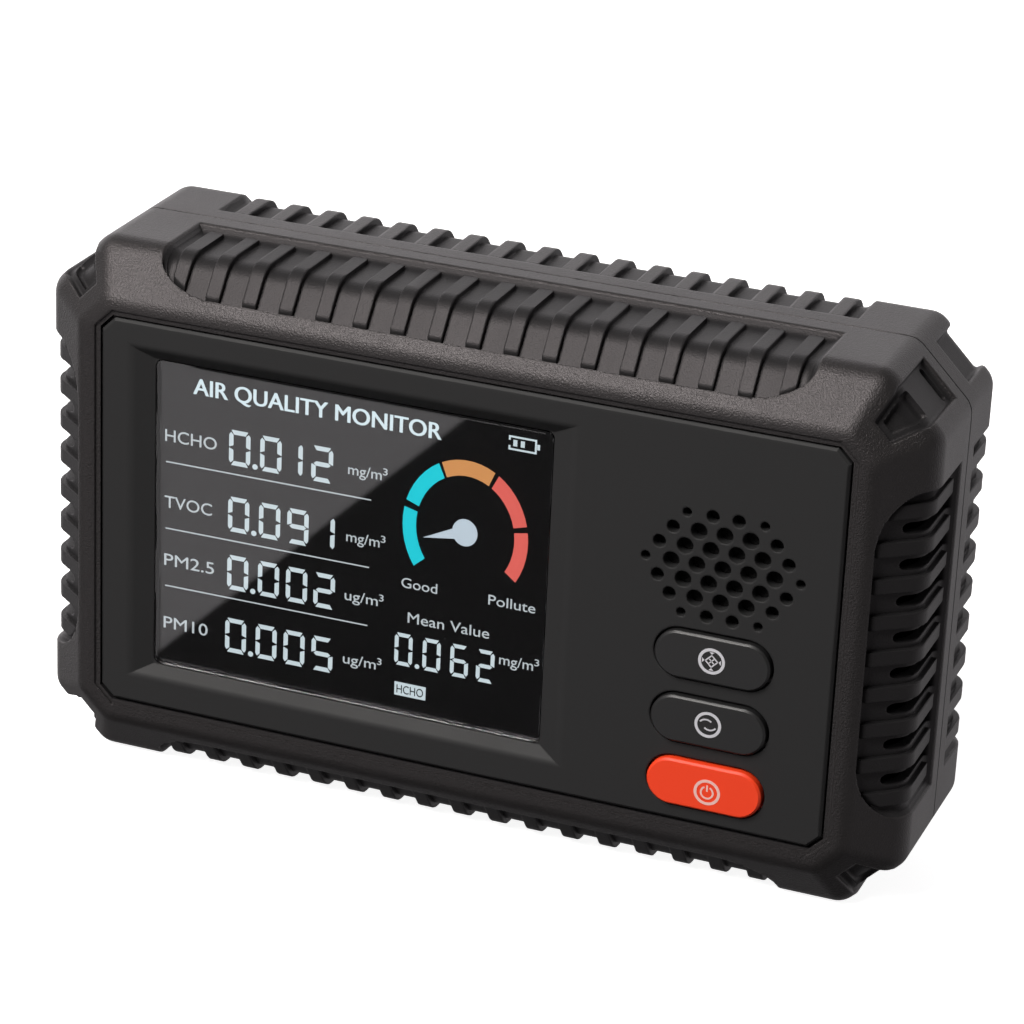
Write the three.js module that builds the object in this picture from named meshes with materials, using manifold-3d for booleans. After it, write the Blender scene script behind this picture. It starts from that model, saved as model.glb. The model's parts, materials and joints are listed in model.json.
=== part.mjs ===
// Desktop air quality monitor, 150 x 91 x 44 mm, as separate pieces.
// Units are millimetres and +Z is up. Everything is modelled in depths behind the flat front of the
// housing (y = 0 at the front, growing towards the back), and the finished assembly is then moved so
// that the origin is under the middle of the whole object, on the surface that it stands on.

import * as THREE from "three";
import { mergeVertices } from "three/addons/utils/BufferGeometryUtils.js";
import Module from "manifold-3d";

const wasm = await Module();
wasm.setup();

// ---- Driving dimensions ----

// Housing: a block with chamfered corners and a wide bevel around its front and its back
const WIDTH = 150;
const HEIGHT = 91;
const DEPTH = 44;
const CORNER = 9.5; // leg of the 45 degree corner chamfer
const BEVEL_INSET = 8.5; // how far the front face stands in from the sides
const BEVEL_DEPTH = 6.6;
const WALL = 3.2;
const FRONT_WALL_BACK = 4.5; // depth of the inner face of the front wall
const SEAM = 23; // the parting line between the front and the rear housing
const GAP = 0.3; // clearance between neighbouring pieces
const MID_HEIGHT = HEIGHT / 2;

// Grip recesses around the edges, with ribs that follow the surface
const RECESS_DEPTH = 1.5;
const RIB_DROP = 0.6; // rib tops lie this far below the outer surface
const RIB_WIDTH = 2.6;
const RIDGE_FRONT = 19.6; // the plain band around the seam
const RIDGE_BACK = 26.8;
const LONG_RECESS = { half: 55, edge: 1.9, corner: [11, 4.5], ribs: 17, pitch: 6.37 };
const SHORT_RECESS = { half: 28, edge: 0.8, corner: [10, 5.9], ribs: 9, pitch: 6.1 };
const VENT_SLOT = { width: 1.8, from: 4.9, to: 18.6 };

// Pockets and notches in the corner chamfers
const POCKET = { half: 3.8, tip: 2, edge: 2.9, shoulder: 7, back: 19.7, depth: 1 };
const NOTCH = { half: 3.9, from: 27.8, depth: 1.2 };

// Faceplate, set flush into the front
const PLATE = { width: 125.5, bottom: 12.4, top: 79.8, corner: 2.2, thick: 2 };
const PLATE_MID = (PLATE.bottom + PLATE.top) / 2;
const WINDOW = { left: -53.8, right: 14.8, bottom: 19.6, top: 73.6, sunk: 1.5 };
const WINDOW_SLOPE = { side: 3.7, end: 2 };
const LENS_THICK = 1.2;
const SCREEN = { front: 3, shoulder: 4.3, back: 6.2 }; // display panel, bonded behind the lens
const TRAY = { front: 4.9, floor: 6.5, back: 7.4 }; // sheet steel behind the display panel
const GRILLE = { x: 43.8, z: 56.65, pitch: 4.2, row: 2.81, rings: 3 };
const GRILLE_RADII = { inner: 1.32, edge: 1.03, corner: 0.73 };

// Buttons
const BUTTON = { x: 43.3, length: 19, height: 8, proud: 0.9, clearance: 0.35 };
const BUTTON_HEIGHTS = [41.35, 30.25, 19.25];
const BUTTON_FLANGE = { length: 22.4, height: 9.6, corner: 1.5, from: 2.3, to: 3.4 };
const BUTTON_STEM = 2; // radius
const SWITCH = { size: 6, from: 7.2, to: 10.7, plunger: 1.6, proud: 1.3, inside: 1.2 };

// Air path behind the grille
const DUST_FILTER = { width: 28.6, height: 19.8, corner: 5, back: 3.9 };
const FAN = { size: 25, corner: 2, from: 9.5, thick: 7, z: 57.7 };
const FAN_FRAME = { bore: 11.6, seat: 4.5, arm: [1, 1.4], hole: 1.25, holeOffset: 10 };
const ROTOR = { hub: 5.2, blades: 7, blade: [0.7, 4.8], pitch: 38, clearance: 0.6 };
const SENSOR = { x: [20, 58], z: [20.5, 70.5], y: [17, 38], wall: 1.5, lid: 2.5 };

// Electronics and power
const BOARD = { x: [-66, 27.5], z: [19.6, 71.4], y: 12, thick: 1.6, hole: 1.5, margin: [4, 10] };
const CHIPS = [ // x from and to, height above the board, z from and to
  [-24, -12, 1.2, 28, 40],
  [-4, 3, 3.5, 18, 23],
  [-50, -42, 2, 20, 34],
  [-8, 8, 1, 44, 52],
  [-36, -32, 4, 18, 30],
];
const BUTTON_BOARD = { half: 12, y: [11, 12.6], z: [14.5, 44.7] };
const BATTERY = { x: [-52, 8], z: [27, 67], y: [31, 38.2] };
const BATTERY_PAD = { x: [-46, 2], z: [32, 62] };
const RIBBON = { x: [-30, -12], z: [17.4, 40], thick: 0.2 };
const CHARGER = { half: 9, from: 24, z: [11.2, 12.4] };
const TONGUE = { half: 3.4, thick: 0.7, short: 1.2 };

// Openings in the front wall, behind the faceplate
const DISPLAY_OPENING = { x: [-57.5, 18.5], z: [16.5, 76] };
const CONTROL_OPENING = { half: 14.8, z: [13.8, 67] };

// Screws and their posts. The rear posts are hollow wells, which the screws go into from the back.
const SCREW_X = 60;
const SCREW_Z = 15.5; // from the bottom, and from the top
const SCREW_POST = { front: 3.6, rear: 4.6, hole: 1.7, from: 9 };
const SCREW_WELL = { radius: 3.3, depth: 13 };
const BOARD_POST = { radius: 2.8, hole: 1.3 };
const HOUSING_SCREW = { shaft: 1.4, head: 2.8, height: 2, length: 18, cross: true };
const BOARD_SCREW = { shaft: 1, head: 2.4, height: 1.5, length: 7, cross: false };

// Back of the housing, in depths from the back
const LIP = { thick: 1.2, reach: 2, root: 3 }; // reaches into the front housing
const CRADLE = { gap: 1.2, wall: 2, from: 3, to: 7 }; // ribs around the battery
const RAIL = { thick: 1.5, from: 8, to: 16 }; // ribs under the charging board
const BACK_PANEL = { width: 104, height: 50, corner: 4, sunk: 0.8 };
const USB = { x: -30, z: 14.4, width: 9, height: 3.3, from: 36.6, to: 43.7, wall: 0.4 };
const PORT = { clearance: 0.4, bevel: 1.5, sunk: 1.2 };

// ---- Materials ----

function finish(color, roughness, metalness = 0) {
  return new THREE.MeshStandardMaterial({ color, roughness, metalness });
}

const blackPlastic = finish(0x2d2b2c, 0.55);
const platePlastic = finish(0x262627, 0.5);
const buttonPlastic = finish(0x1c1c1e, 0.4);
const redPlastic = finish(0xe8492a, 0.4);
const tintedGlass = finish(0x101214, 0.08);
const panelGlass = finish(0x15171a, 0.2);
const steel = finish(0xb4b6b8, 0.35, 1);
const circuitBoard = finish(0x1f5a36, 0.5);
const foam = finish(0x1a1a1a, 0.95);
const sensorPlastic = finish(0x2a4f8a, 0.5);
const whitePlastic = finish(0xe4e2dc, 0.5);
const foil = finish(0xc3c6ca, 0.4, 0.8);

// ---- Helpers ----

/** A three.js geometry as a solid that can be joined and cut. */
function solid(geometry) {
  geometry.deleteAttribute("normal");
  geometry.deleteAttribute("uv");
  const merged = mergeVertices(geometry, 1e-4);
  const vertProperties = merged.attributes.position.array;
  const triVerts = new Uint32Array(merged.index.array);
  return new wasm.Manifold(new wasm.Mesh({ numProp: 3, vertProperties, triVerts }));
}

/** A solid as a named mesh. */
function piece(name, body, material) {
  const made = body.getMesh();
  const geometry = new THREE.BufferGeometry();
  geometry.setAttribute("position", new THREE.BufferAttribute(made.vertProperties, 3));
  geometry.setIndex(new THREE.BufferAttribute(made.triVerts, 1));
  geometry.computeVertexNormals();
  const mesh = new THREE.Mesh(geometry, material);
  mesh.name = name;
  return mesh;
}

function joined(solids) {
  return solids.reduce((sum, next) => sum.add(next));
}

/** A box from its lowest to its highest corner. */
function box([x0, x1], [y0, y1], [z0, z1]) {
  const geometry = new THREE.BoxGeometry(x1 - x0, y1 - y0, z1 - z0);
  geometry.translate((x0 + x1) / 2, (y0 + y1) / 2, (z0 + z1) / 2);
  return solid(geometry);
}

/** An outline drawn in width and height, extruded between two depths. */
function slab(shape, from, to, curveSegments = 4) {
  const options = { depth: to - from, bevelEnabled: false, curveSegments };
  const geometry = new THREE.ExtrudeGeometry(shape, options);
  geometry.rotateX(Math.PI / 2);
  geometry.translate(0, to, 0);
  return solid(geometry);
}

/** A round bar along the depth axis. */
function rod(radius, x, z, from, to, segments = 14) {
  const geometry = new THREE.CylinderGeometry(radius, radius, to - from, segments);
  geometry.translate(x, (from + to) / 2, z);
  return solid(geometry);
}

/** A rectangle with 45 degree corners, centred on the given point. */
function chamferedRectangle(width, height, corner, x = 0, z = 0) {
  const [a, b] = [width / 2, height / 2];
  const outline = [
    [a - corner, -b], [a, corner - b], [a, b - corner], [a - corner, b],
    [corner - a, b], [-a, b - corner], [-a, corner - b], [corner - a, -b],
  ];
  return new THREE.Shape(outline.map(([u, v]) => new THREE.Vector2(x + u, z + v)));
}

/** A rectangle with rounded corners, centred on the given point. */
function roundedRectangle(width, height, radius, x = 0, z = 0) {
  const [a, b] = [width / 2 - radius, height / 2 - radius];
  const shape = new THREE.Shape();
  shape.absarc(x + a, z - b, radius, -Math.PI / 2, 0);
  shape.absarc(x + a, z + b, radius, 0, Math.PI / 2);
  shape.absarc(x - a, z + b, radius, Math.PI / 2, Math.PI);
  shape.absarc(x - a, z - b, radius, Math.PI, Math.PI * 1.5);
  shape.closePath();
  return shape;
}

function pill(length, height, x, z) {
  return roundedRectangle(length, height, height / 2 - 0.001, x, z);
}

/** A round part turned from a profile of [radius, height] points, standing on a board. */
function turned(profile, x, z, foot) {
  const points = profile.map(([radius, height]) => new THREE.Vector2(radius, height));
  const geometry = new THREE.LatheGeometry(points, 16);
  geometry.translate(x, foot, z);
  return solid(geometry);
}

// ---- Housing ----

const SLOPE = BEVEL_INSET / BEVEL_DEPTH;

/** The whole housing block, shrunk evenly so that each face moves in by the given distance. */
function block(inset) {
  const bevelSize = BEVEL_INSET + inset * (Math.hypot(1, SLOPE) - SLOPE - 1);
  const bevelThickness = bevelSize / SLOPE;
  const shape = chamferedRectangle(
    WIDTH - 2 * inset,
    HEIGHT - 2 * inset,
    CORNER - inset * (2 - Math.SQRT2),
    0,
    MID_HEIGHT,
  );
  const straight = DEPTH - 2 * inset - 2 * bevelThickness;
  const geometry = new THREE.ExtrudeGeometry(shape, {
    depth: straight,
    bevelThickness,
    bevelSize,
    bevelOffset: -bevelSize,
    bevelSegments: 1,
  });
  geometry.rotateX(Math.PI / 2);
  geometry.translate(0, DEPTH - inset - bevelThickness, 0);
  return solid(geometry);
}

/** A prism that stands on the middle of the block and points up, turned about the depth axis. */
function sidePrism(shape, turn, from, to) {
  const options = { depth: to - from, bevelEnabled: false, curveSegments: 4 };
  const geometry = new THREE.ExtrudeGeometry(shape, options);
  geometry.translate(0, 0, from);
  geometry.rotateY(turn);
  geometry.translate(0, 0, MID_HEIGHT);
  return solid(geometry);
}

/** Outline of one grip recess: straight at the ridge, with elliptical corners towards the face. */
function recessOutline({ half, edge, corner: [length, reach] }, ridge) {
  const shape = new THREE.Shape();
  shape.moveTo(-half, ridge);
  shape.lineTo(-half, edge + reach);
  shape.absellipse(-half + length, edge + reach, length, reach, Math.PI, Math.PI * 1.5);
  shape.absellipse(half - length, edge + reach, length, reach, Math.PI * 1.5, Math.PI * 2);
  shape.lineTo(half, ridge);
  return shape;
}

/** Distances of the ribs from the middle of their recess. */
function ribPlaces({ ribs, pitch }) {
  return Array.from({ length: ribs }, (_, i) => (i - (ribs - 1) / 2) * pitch);
}

function ribOutline(u, ridge) {
  return new THREE.Shape([
    new THREE.Vector2(u - RIB_WIDTH / 2, 0),
    new THREE.Vector2(u + RIB_WIDTH / 2, 0),
    new THREE.Vector2(u + RIB_WIDTH / 2, ridge + 1),
    new THREE.Vector2(u - RIB_WIDTH / 2, ridge + 1),
  ]);
}

/** The recesses of one housing half, with the ribs left standing. */
function gripCuts(ridge) {
  const sides = [0, 1, 2, 3].map((quarter) => {
    const isEnd = quarter % 2 === 1;
    const from = (isEnd ? WIDTH : HEIGHT) / 2 - BEVEL_INSET - 0.5;
    return { recess: isEnd ? SHORT_RECESS : LONG_RECESS, turn: (quarter * Math.PI) / 2, from };
  });
  const recesses = joined(
    sides.map(({ recess, turn, from }) => sidePrism(recessOutline(recess, ridge), turn, from, WIDTH)),
  );
  const ribs = joined(
    sides.flatMap(({ recess, turn, from }) =>
      ribPlaces(recess).map((u) => sidePrism(ribOutline(u, ridge), turn, from - 1, WIDTH)),
    ),
  );
  const floors = recesses.subtract(ribs).subtract(block(RECESS_DEPTH));
  return floors.add(recesses.subtract(block(RIB_DROP)));
}

/** Cuts of the given outline into all four corner chamfers, following the surface at one depth. */
function cornerCuts(outline, depth) {
  const shape = new THREE.Shape(outline.map(([u, v]) => new THREE.Vector2(u, v)));
  const cuts = [45, 135, 225, 315].map((degrees) => {
    const turn = THREE.MathUtils.degToRad(degrees);
    const geometry = new THREE.ExtrudeGeometry(shape, { depth: 20, bevelEnabled: false });
    geometry.translate(0, 0, -10);
    geometry.rotateY(turn);
    const x = Math.sign(Math.sin(turn)) * (WIDTH / 2 - CORNER / 2);
    const z = Math.sign(Math.cos(turn)) * (HEIGHT / 2 - CORNER / 2);
    geometry.translate(x, 0, MID_HEIGHT + z);
    return solid(geometry);
  });
  return joined(cuts).subtract(block(depth));
}

/** A slab of the housing's cross section, shrunk evenly. */
function octagonSlab(inset, from, to) {
  const corner = CORNER - inset * (2 - Math.SQRT2);
  const [width, height] = [WIDTH - 2 * inset, HEIGHT - 2 * inset];
  return slab(chamferedRectangle(width, height, corner, 0, MID_HEIGHT), from, to);
}

/** A band of the housing's cross section between two insets. */
function ring(outer, inner, from, to) {
  return octagonSlab(outer, from, to).subtract(octagonSlab(inner, from - 1, to + 1));
}

/** One half of the housing as an empty shell, its face at depth 0, open at the seam. */
function shellHalf(seam, ridge, cornerCut) {
  const across = (from, to) => box([-WIDTH, WIDTH], [from, to], [-1, HEIGHT + 1]);
  const cavity = block(WALL).subtract(across(-1, FRONT_WALL_BACK));
  const beyond = across(seam, DEPTH + 1);
  return block(0).subtract(gripCuts(ridge)).subtract(cornerCut).subtract(cavity).subtract(beyond);
}

/** The four places where the housing is screwed together. */
const screwPlaces = [
  [-SCREW_X, SCREW_Z],
  [SCREW_X, SCREW_Z],
  [-SCREW_X, HEIGHT - SCREW_Z],
  [SCREW_X, HEIGHT - SCREW_Z],
];

/** The four places near the ends of the main board where it is screwed to its posts. */
const boardPlaces = [BOARD.x[0] + BOARD.margin[0], BOARD.x[1] - BOARD.margin[0]].flatMap((x) =>
  [BOARD.z[0] + BOARD.margin[1], BOARD.z[1] - BOARD.margin[1]].map((z) => [x, z]),
);

/** The slots through the floors between the ribs at both ends of the housing. */
function ventSlots() {
  const places = ribPlaces({ ribs: SHORT_RECESS.ribs - 1, pitch: SHORT_RECESS.pitch });
  return places.flatMap((u) => {
    const z = [MID_HEIGHT + u - VENT_SLOT.width / 2, MID_HEIGHT + u + VENT_SLOT.width / 2];
    const y = [VENT_SLOT.from, VENT_SLOT.to];
    const [inside, outside] = [WIDTH / 2 - 9, WIDTH / 2 + 1];
    return [box([-outside, -inside], y, z), box([inside, outside], y, z)];
  });
}

function frontHousing() {
  const { half, tip, edge, shoulder, back, depth } = POCKET;
  const pocket = [
    [-half, back], [-half, shoulder], [-tip, edge], [tip, edge], [half, shoulder], [half, back],
  ];
  const [width, height] = [PLATE.width + 2 * GAP, PLATE.top - PLATE.bottom + 2 * GAP];
  const seat = chamferedRectangle(width, height, PLATE.corner, 0, PLATE_MID);
  const wall = [-1, FRONT_WALL_BACK + 1.5];
  const controls = [BUTTON.x - CONTROL_OPENING.half, BUTTON.x + CONTROL_OPENING.half];
  const openings = box(DISPLAY_OPENING.x, wall, DISPLAY_OPENING.z).add(
    box(controls, wall, CONTROL_OPENING.z),
  );
  const seam = SEAM - GAP / 2;
  const foot = FRONT_WALL_BACK - 0.5;
  const screwPosts = screwPlaces.map(([x, z]) => rod(SCREW_POST.front, x, z, foot, seam - 0.2));
  const screwHoles = screwPlaces.map(([x, z]) =>
    rod(SCREW_POST.hole, x, z, SCREW_POST.from, DEPTH, 12),
  );
  const boardPosts = boardPlaces.map(([x, z]) =>
    rod(BOARD_POST.radius, x, z, foot, BOARD.y - GAP, 12),
  );
  const boardHoles = boardPlaces.map(([x, z]) =>
    rod(BOARD_POST.hole, x, z, FRONT_WALL_BACK + 1, BOARD.y + 1, 10),
  );
  return shellHalf(seam, RIDGE_FRONT, cornerCuts(pocket, depth))
    .subtract(slab(seat, -1, PLATE.thick + GAP))
    .add(joined([...screwPosts, ...boardPosts]))
    .subtract(openings)
    .subtract(joined([...ventSlots(), ...screwHoles, ...boardHoles]));
}

/** The locating lip at the seam, with a root that joins it to the wall, clear of the posts. */
function locatingLip(seam) {
  const inner = WALL + GAP + LIP.thick;
  const root = ring(WALL - 0.2, inner, seam - LIP.root, seam);
  const lip = ring(WALL + GAP, inner, seam - 1, seam + LIP.reach);
  const clearance = screwPlaces.map(([x, z]) =>
    rod(SCREW_POST.rear, x, z, seam + 0.01, seam + LIP.reach + 1),
  );
  return root.add(lip).subtract(joined(clearance));
}

/** The ribs that hold the battery in place, in the mirrored frame of the rear housing. */
function batteryCradle() {
  const { gap, wall, from, to } = CRADLE;
  const around = (reach) => [
    [-BATTERY.x[1] - reach, -BATTERY.x[0] + reach],
    [BATTERY.z[0] - reach, BATTERY.z[1] + reach],
  ];
  const [outerX, outerZ] = around(gap + wall);
  const [innerX, innerZ] = around(gap);
  return box(outerX, [from, to], outerZ).subtract(box(innerX, [from - 1, to + 1], innerZ));
}

/** The charging port's opening, with a shallow recess around it, in the mirrored frame. */
function portOpening() {
  const opening = (grow, depth) => {
    const [width, height] = [USB.width + 2 * grow, USB.height + 2 * grow];
    return slab(pill(width, height, -USB.x, USB.z), -1, depth, 5);
  };
  return opening(PORT.bevel, PORT.sunk).add(opening(PORT.clearance, WALL + 3));
}

/** The rear housing is modelled like the front one, then turned round to face the back. */
function rearHousing() {
  const seam = DEPTH - SEAM - GAP / 2;
  const ridge = DEPTH - RIDGE_BACK;
  const notchEnd = DEPTH - NOTCH.from;
  const notch = [
    [-NOTCH.half, notchEnd], [-NOTCH.half, -1], [NOTCH.half, -1], [NOTCH.half, notchEnd],
  ];
  const posts = screwPlaces.map(([x, z]) => rod(SCREW_POST.rear, x, z, 1, seam));
  const wells = screwPlaces.flatMap(([x, z]) => [
    rod(SCREW_WELL.radius, x, z, -1, SCREW_WELL.depth),
    rod(SCREW_POST.hole, x, z, SCREW_WELL.depth - 3, DEPTH, 12),
  ]);
  const railHeight = [WALL - 0.7, CHARGER.z[0] - GAP];
  const rails = [-USB.x - CHARGER.half, -USB.x + CHARGER.half - RAIL.thick].map((x) =>
    box([x, x + RAIL.thick], [RAIL.from, RAIL.to], railHeight),
  );
  const { width, height, corner, sunk } = BACK_PANEL;
  const panel = chamferedRectangle(width, height, corner, 0, MID_HEIGHT);
  const shell = shellHalf(seam, ridge, cornerCuts(notch, NOTCH.depth))
    .add(locatingLip(seam))
    .add(joined([...posts, batteryCradle(), ...rails]))
    .subtract(joined(wells))
    .subtract(slab(panel, -1, sunk))
    .subtract(portOpening());
  return shell.rotate([0, 0, 180]).translate([0, DEPTH, 0]);
}

// ---- Faceplate and display ----

function windowShape(grow, growEnds = grow) {
  const width = WINDOW.right - WINDOW.left + 2 * grow;
  const height = WINDOW.top - WINDOW.bottom + 2 * growEnds;
  const radius = Math.max(0.6, 0.6 + grow);
  const [x, z] = [(WINDOW.left + WINDOW.right) / 2, (WINDOW.bottom + WINDOW.top) / 2];
  return roundedRectangle(width, height, radius, x, z);
}

/** The funnel from the plate's face down to the window. It spreads more to the left and right. */
function windowSlope() {
  const [x, z] = [(WINDOW.left + WINDOW.right) / 2, (WINDOW.bottom + WINDOW.top) / 2];
  const width = WINDOW.right - WINDOW.left;
  const height = WINDOW.top - WINDOW.bottom;
  const geometry = new THREE.BoxGeometry(width, WINDOW.sunk + 0.1, height);
  const corners = geometry.attributes.position;
  for (let i = 0; i < corners.count; i++) {
    if (corners.getY(i) < 0) {
      corners.setX(i, corners.getX(i) + Math.sign(corners.getX(i)) * WINDOW_SLOPE.side);
      corners.setZ(i, corners.getZ(i) + Math.sign(corners.getZ(i)) * WINDOW_SLOPE.end);
    }
  }
  geometry.translate(x, WINDOW.sunk / 2 - 0.05, z);
  return solid(geometry);
}

/** The grille's holes as [x, z, radius], in rings of a hexagon. */
function grilleHoles() {
  const holes = [];
  const { rings } = GRILLE;
  for (let row = -rings; row <= rings; row++) {
    const reach = rings - Math.abs(row) / 2;
    for (let column = -reach; column <= reach; column++) {
      const outer = Math.abs(row) === rings || Math.abs(column) === reach;
      const corner = outer && (row === 0 || Math.abs(row) === rings) && Math.abs(column) === reach;
      const radius = corner ? GRILLE_RADII.corner : outer ? GRILLE_RADII.edge : GRILLE_RADII.inner;
      holes.push([GRILLE.x + column * GRILLE.pitch, GRILLE.z + row * GRILLE.row, radius]);
    }
  }
  return holes;
}

function faceplate() {
  const height = PLATE.top - PLATE.bottom;
  const outline = chamferedRectangle(PLATE.width, height, PLATE.corner, 0, PLATE_MID);
  const frame = slab(windowShape(3.2, 2.4), PLATE.thick - 0.5, 4, 2);
  const clearance = 2 * BUTTON.clearance;
  const buttonHoles = BUTTON_HEIGHTS.map((z) =>
    slab(pill(BUTTON.length + clearance, BUTTON.height + clearance, BUTTON.x, z), -1, 3, 6),
  );
  const holes = grilleHoles().map(([x, z, radius]) => rod(radius, x, z, -1, 3, 8));
  return slab(outline, 0, PLATE.thick)
    .add(frame)
    .subtract(windowSlope())
    .subtract(slab(windowShape(0), WINDOW.sunk - 0.1, 5, 2))
    .subtract(joined([...buttonHoles, ...holes]));
}

function displayLens() {
  return slab(windowShape(-0.15), WINDOW.sunk, WINDOW.sunk + LENS_THICK, 2);
}

/** The display's glass, which fits into the window, on its wider backlight. */
function displayPanel() {
  const glass = slab(windowShape(-GAP), SCREEN.front, SCREEN.shoulder + 0.3, 2);
  return glass.add(slab(windowShape(0.6), SCREEN.shoulder, SCREEN.back, 2));
}

/** The sheet steel tray that the backlight sits in. */
function displayFrame() {
  const tray = slab(windowShape(1.6), TRAY.front, TRAY.back, 2);
  const pocket = slab(windowShape(0.9), TRAY.front - 1, TRAY.floor, 2);
  return tray.subtract(pocket);
}

/** The flat cable that runs down the tray's back and then to the main board. */
function displayRibbon() {
  const { x, z, thick } = RIBBON;
  const front = TRAY.back + GAP;
  const down = box(x, [front, front + thick], z);
  return down.add(box(x, [front, BOARD.y - GAP], [z[0], z[0] + thick]));
}

// ---- Buttons and their switches ----

function button(z) {
  const { length, height, corner, from, to } = BUTTON_FLANGE;
  const outline = pill(BUTTON.length, BUTTON.height, BUTTON.x, z);
  const cap = slab(outline, -BUTTON.proud, from + 0.5, 6);
  const flange = slab(roundedRectangle(length, height, corner, BUTTON.x, z), from, to, 2);
  const tip = SWITCH.from - SWITCH.proud - GAP;
  const stem = rod(BUTTON_STEM, BUTTON.x, z, to - 0.5, tip, 12);
  return joined([cap, flange, stem]);
}

function switchPlunger(z) {
  const { from, proud, inside } = SWITCH;
  return rod(SWITCH.plunger, BUTTON.x, z, from - proud, from + inside, 12);
}

function switchBody(z) {
  const half = SWITCH.size / 2;
  const x = [BUTTON.x - half, BUTTON.x + half];
  const body = box(x, [SWITCH.from, SWITCH.to], [z - half, z + half]);
  const well = SWITCH.from + SWITCH.inside + 1.1; // leaves room for the plunger's travel
  return body.subtract(rod(SWITCH.plunger + GAP, BUTTON.x, z, 0, well, 12));
}

function buttonBoard() {
  const { half, y, z } = BUTTON_BOARD;
  return box([BUTTON.x - half, BUTTON.x + half], y, z);
}

// ---- Air path: filter, fan and particle sensor ----

function dustFilter() {
  const { width, height, corner, back } = DUST_FILTER;
  const outline = roundedRectangle(width, height, corner, GRILLE.x, GRILLE.z);
  return slab(outline, PLATE.thick + GAP, back, 5);
}

/** The fan's square frame, with three arms across its back that carry the rotor's seat. */
function fanFrame() {
  const { size, corner, from, thick, z } = FAN;
  const { bore, seat, arm, hole, holeOffset } = FAN_FRAME;
  const back = from + thick;
  const outer = slab(roundedRectangle(size, size, corner, GRILLE.x, z), from, back, 3);
  const opening = rod(bore, GRILLE.x, z, from - 1, back + 1, 20);
  const length = bore + 0.5;
  const arms = [0, 120, 240].map((degrees) => {
    const geometry = new THREE.BoxGeometry(length, ...arm);
    geometry.translate(length / 2, 0, 0);
    geometry.rotateY(THREE.MathUtils.degToRad(degrees));
    geometry.translate(GRILLE.x, back - arm[0] / 2, z);
    return solid(geometry);
  });
  const middle = rod(seat, GRILLE.x, z, back - 1, back);
  const holes = [-holeOffset, holeOffset].flatMap((x) =>
    [-holeOffset, holeOffset].map((up) => rod(hole, GRILLE.x + x, z + up, 0, DEPTH, 8)),
  );
  return outer.subtract(opening).add(joined([...arms, middle])).subtract(joined(holes));
}

function fanRotor() {
  const { from, thick, z } = FAN;
  const { hub, blades, blade, pitch, clearance } = ROTOR;
  const middle = rod(hub, GRILLE.x, z, from + 0.5, from + thick - 1.6, 16);
  const length = FAN_FRAME.bore - clearance - hub + 0.5; // each vane starts inside the hub
  const vanes = Array.from({ length: blades }, (_, i) => {
    const geometry = new THREE.BoxGeometry(length, ...blade);
    geometry.rotateX(THREE.MathUtils.degToRad(pitch));
    geometry.translate(hub + length / 2 - 0.5, 0, 0);
    geometry.rotateY((i / blades) * Math.PI * 2);
    geometry.translate(GRILLE.x, from + 2.9, z);
    return solid(geometry);
  });
  return joined([middle, ...vanes]);
}

/** The particle sensor's case: a box with a round inlet and an outlet window, open at the back. */
function particleSensorCase() {
  const { x, y, z, wall, lid } = SENSOR;
  const back = y[1] - lid - GAP;
  const inside = ([low, high]) => [low + wall, high - wall];
  const hollow = box(inside(x), [y[0] + wall, back + 1], inside(z));
  const inlet = rod(5, GRILLE.x, FAN.z, y[0] - 1, y[0] + 3);
  const outlet = box([x[1] - 2, x[1] + 1], [y[0] + 4, y[0] + 14], [z[0] + 6, z[0] + 16]);
  return box(x, [y[0], back], z).subtract(joined([hollow, inlet, outlet]));
}

/** The cover over the back of the case, with a step that fits inside its walls. */
function particleSensorCover() {
  const { x, y, z, wall, lid } = SENSOR;
  const inside = ([low, high]) => [low + wall + GAP, high - wall - GAP];
  const step = box(inside(x), [y[1] - lid - 2, y[1] - lid + 0.5], inside(z));
  return box(x, [y[1] - lid, y[1]], z).add(step);
}

function formaldehydeSensor() {
  const profile = [[0, 0], [10, 0], [10, 8], [9, 9], [9, 10.5], [5, 10.5], [5, 9.7], [0, 9.7]];
  return turned(profile, -42, 58, BOARD.y + BOARD.thick + GAP);
}

function vocSensor() {
  const profile = [
    [0, 0], [5.1, 0], [5.1, 0.8], [4.2, 1.2], [4.2, 5.6], [3.6, 6.2], [2.6, 6.2], [2.6, 5.8], [0, 5.8],
  ];
  return turned(profile, -16, 64, BOARD.y + BOARD.thick + GAP);
}

function alarmBuzzer() {
  const profile = [[0, 0], [6, 0], [6, 8.1], [5.6, 8.5], [1.2, 8.5], [1.2, 7.5], [0, 7.5]];
  return turned(profile, 3, 66, BOARD.y + BOARD.thick + GAP);
}

// ---- Electronics and power ----

/** The main board with its processor and connectors, which are soldered on. */
function mainBoard() {
  const back = BOARD.y + BOARD.thick;
  const fitted = CHIPS.map(([x0, x1, height, z0, z1]) =>
    box([x0, x1], [back - 0.2, back + height], [z0, z1]),
  );
  const holes = boardPlaces.map(([x, z]) => rod(BOARD.hole, x, z, 0, DEPTH, 12));
  return box(BOARD.x, [BOARD.y, back], BOARD.z).add(joined(fitted)).subtract(joined(holes));
}

function battery() {
  const [x0, x1] = BATTERY.x;
  const [z0, z1] = BATTERY.z;
  const shape = roundedRectangle(x1 - x0, z1 - z0, 2, (x0 + x1) / 2, (z0 + z1) / 2);
  return slab(shape, BATTERY.y[0], BATTERY.y[1], 4);
}

function batteryPad() {
  const y = [BATTERY.y[1] + GAP, DEPTH - FRONT_WALL_BACK - GAP];
  return box(BATTERY_PAD.x, y, BATTERY_PAD.z);
}

function chargingBoard() {
  const { half, from, z } = CHARGER;
  return box([USB.x - half, USB.x + half], [from, DEPTH - FRONT_WALL_BACK - GAP], z);
}

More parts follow.
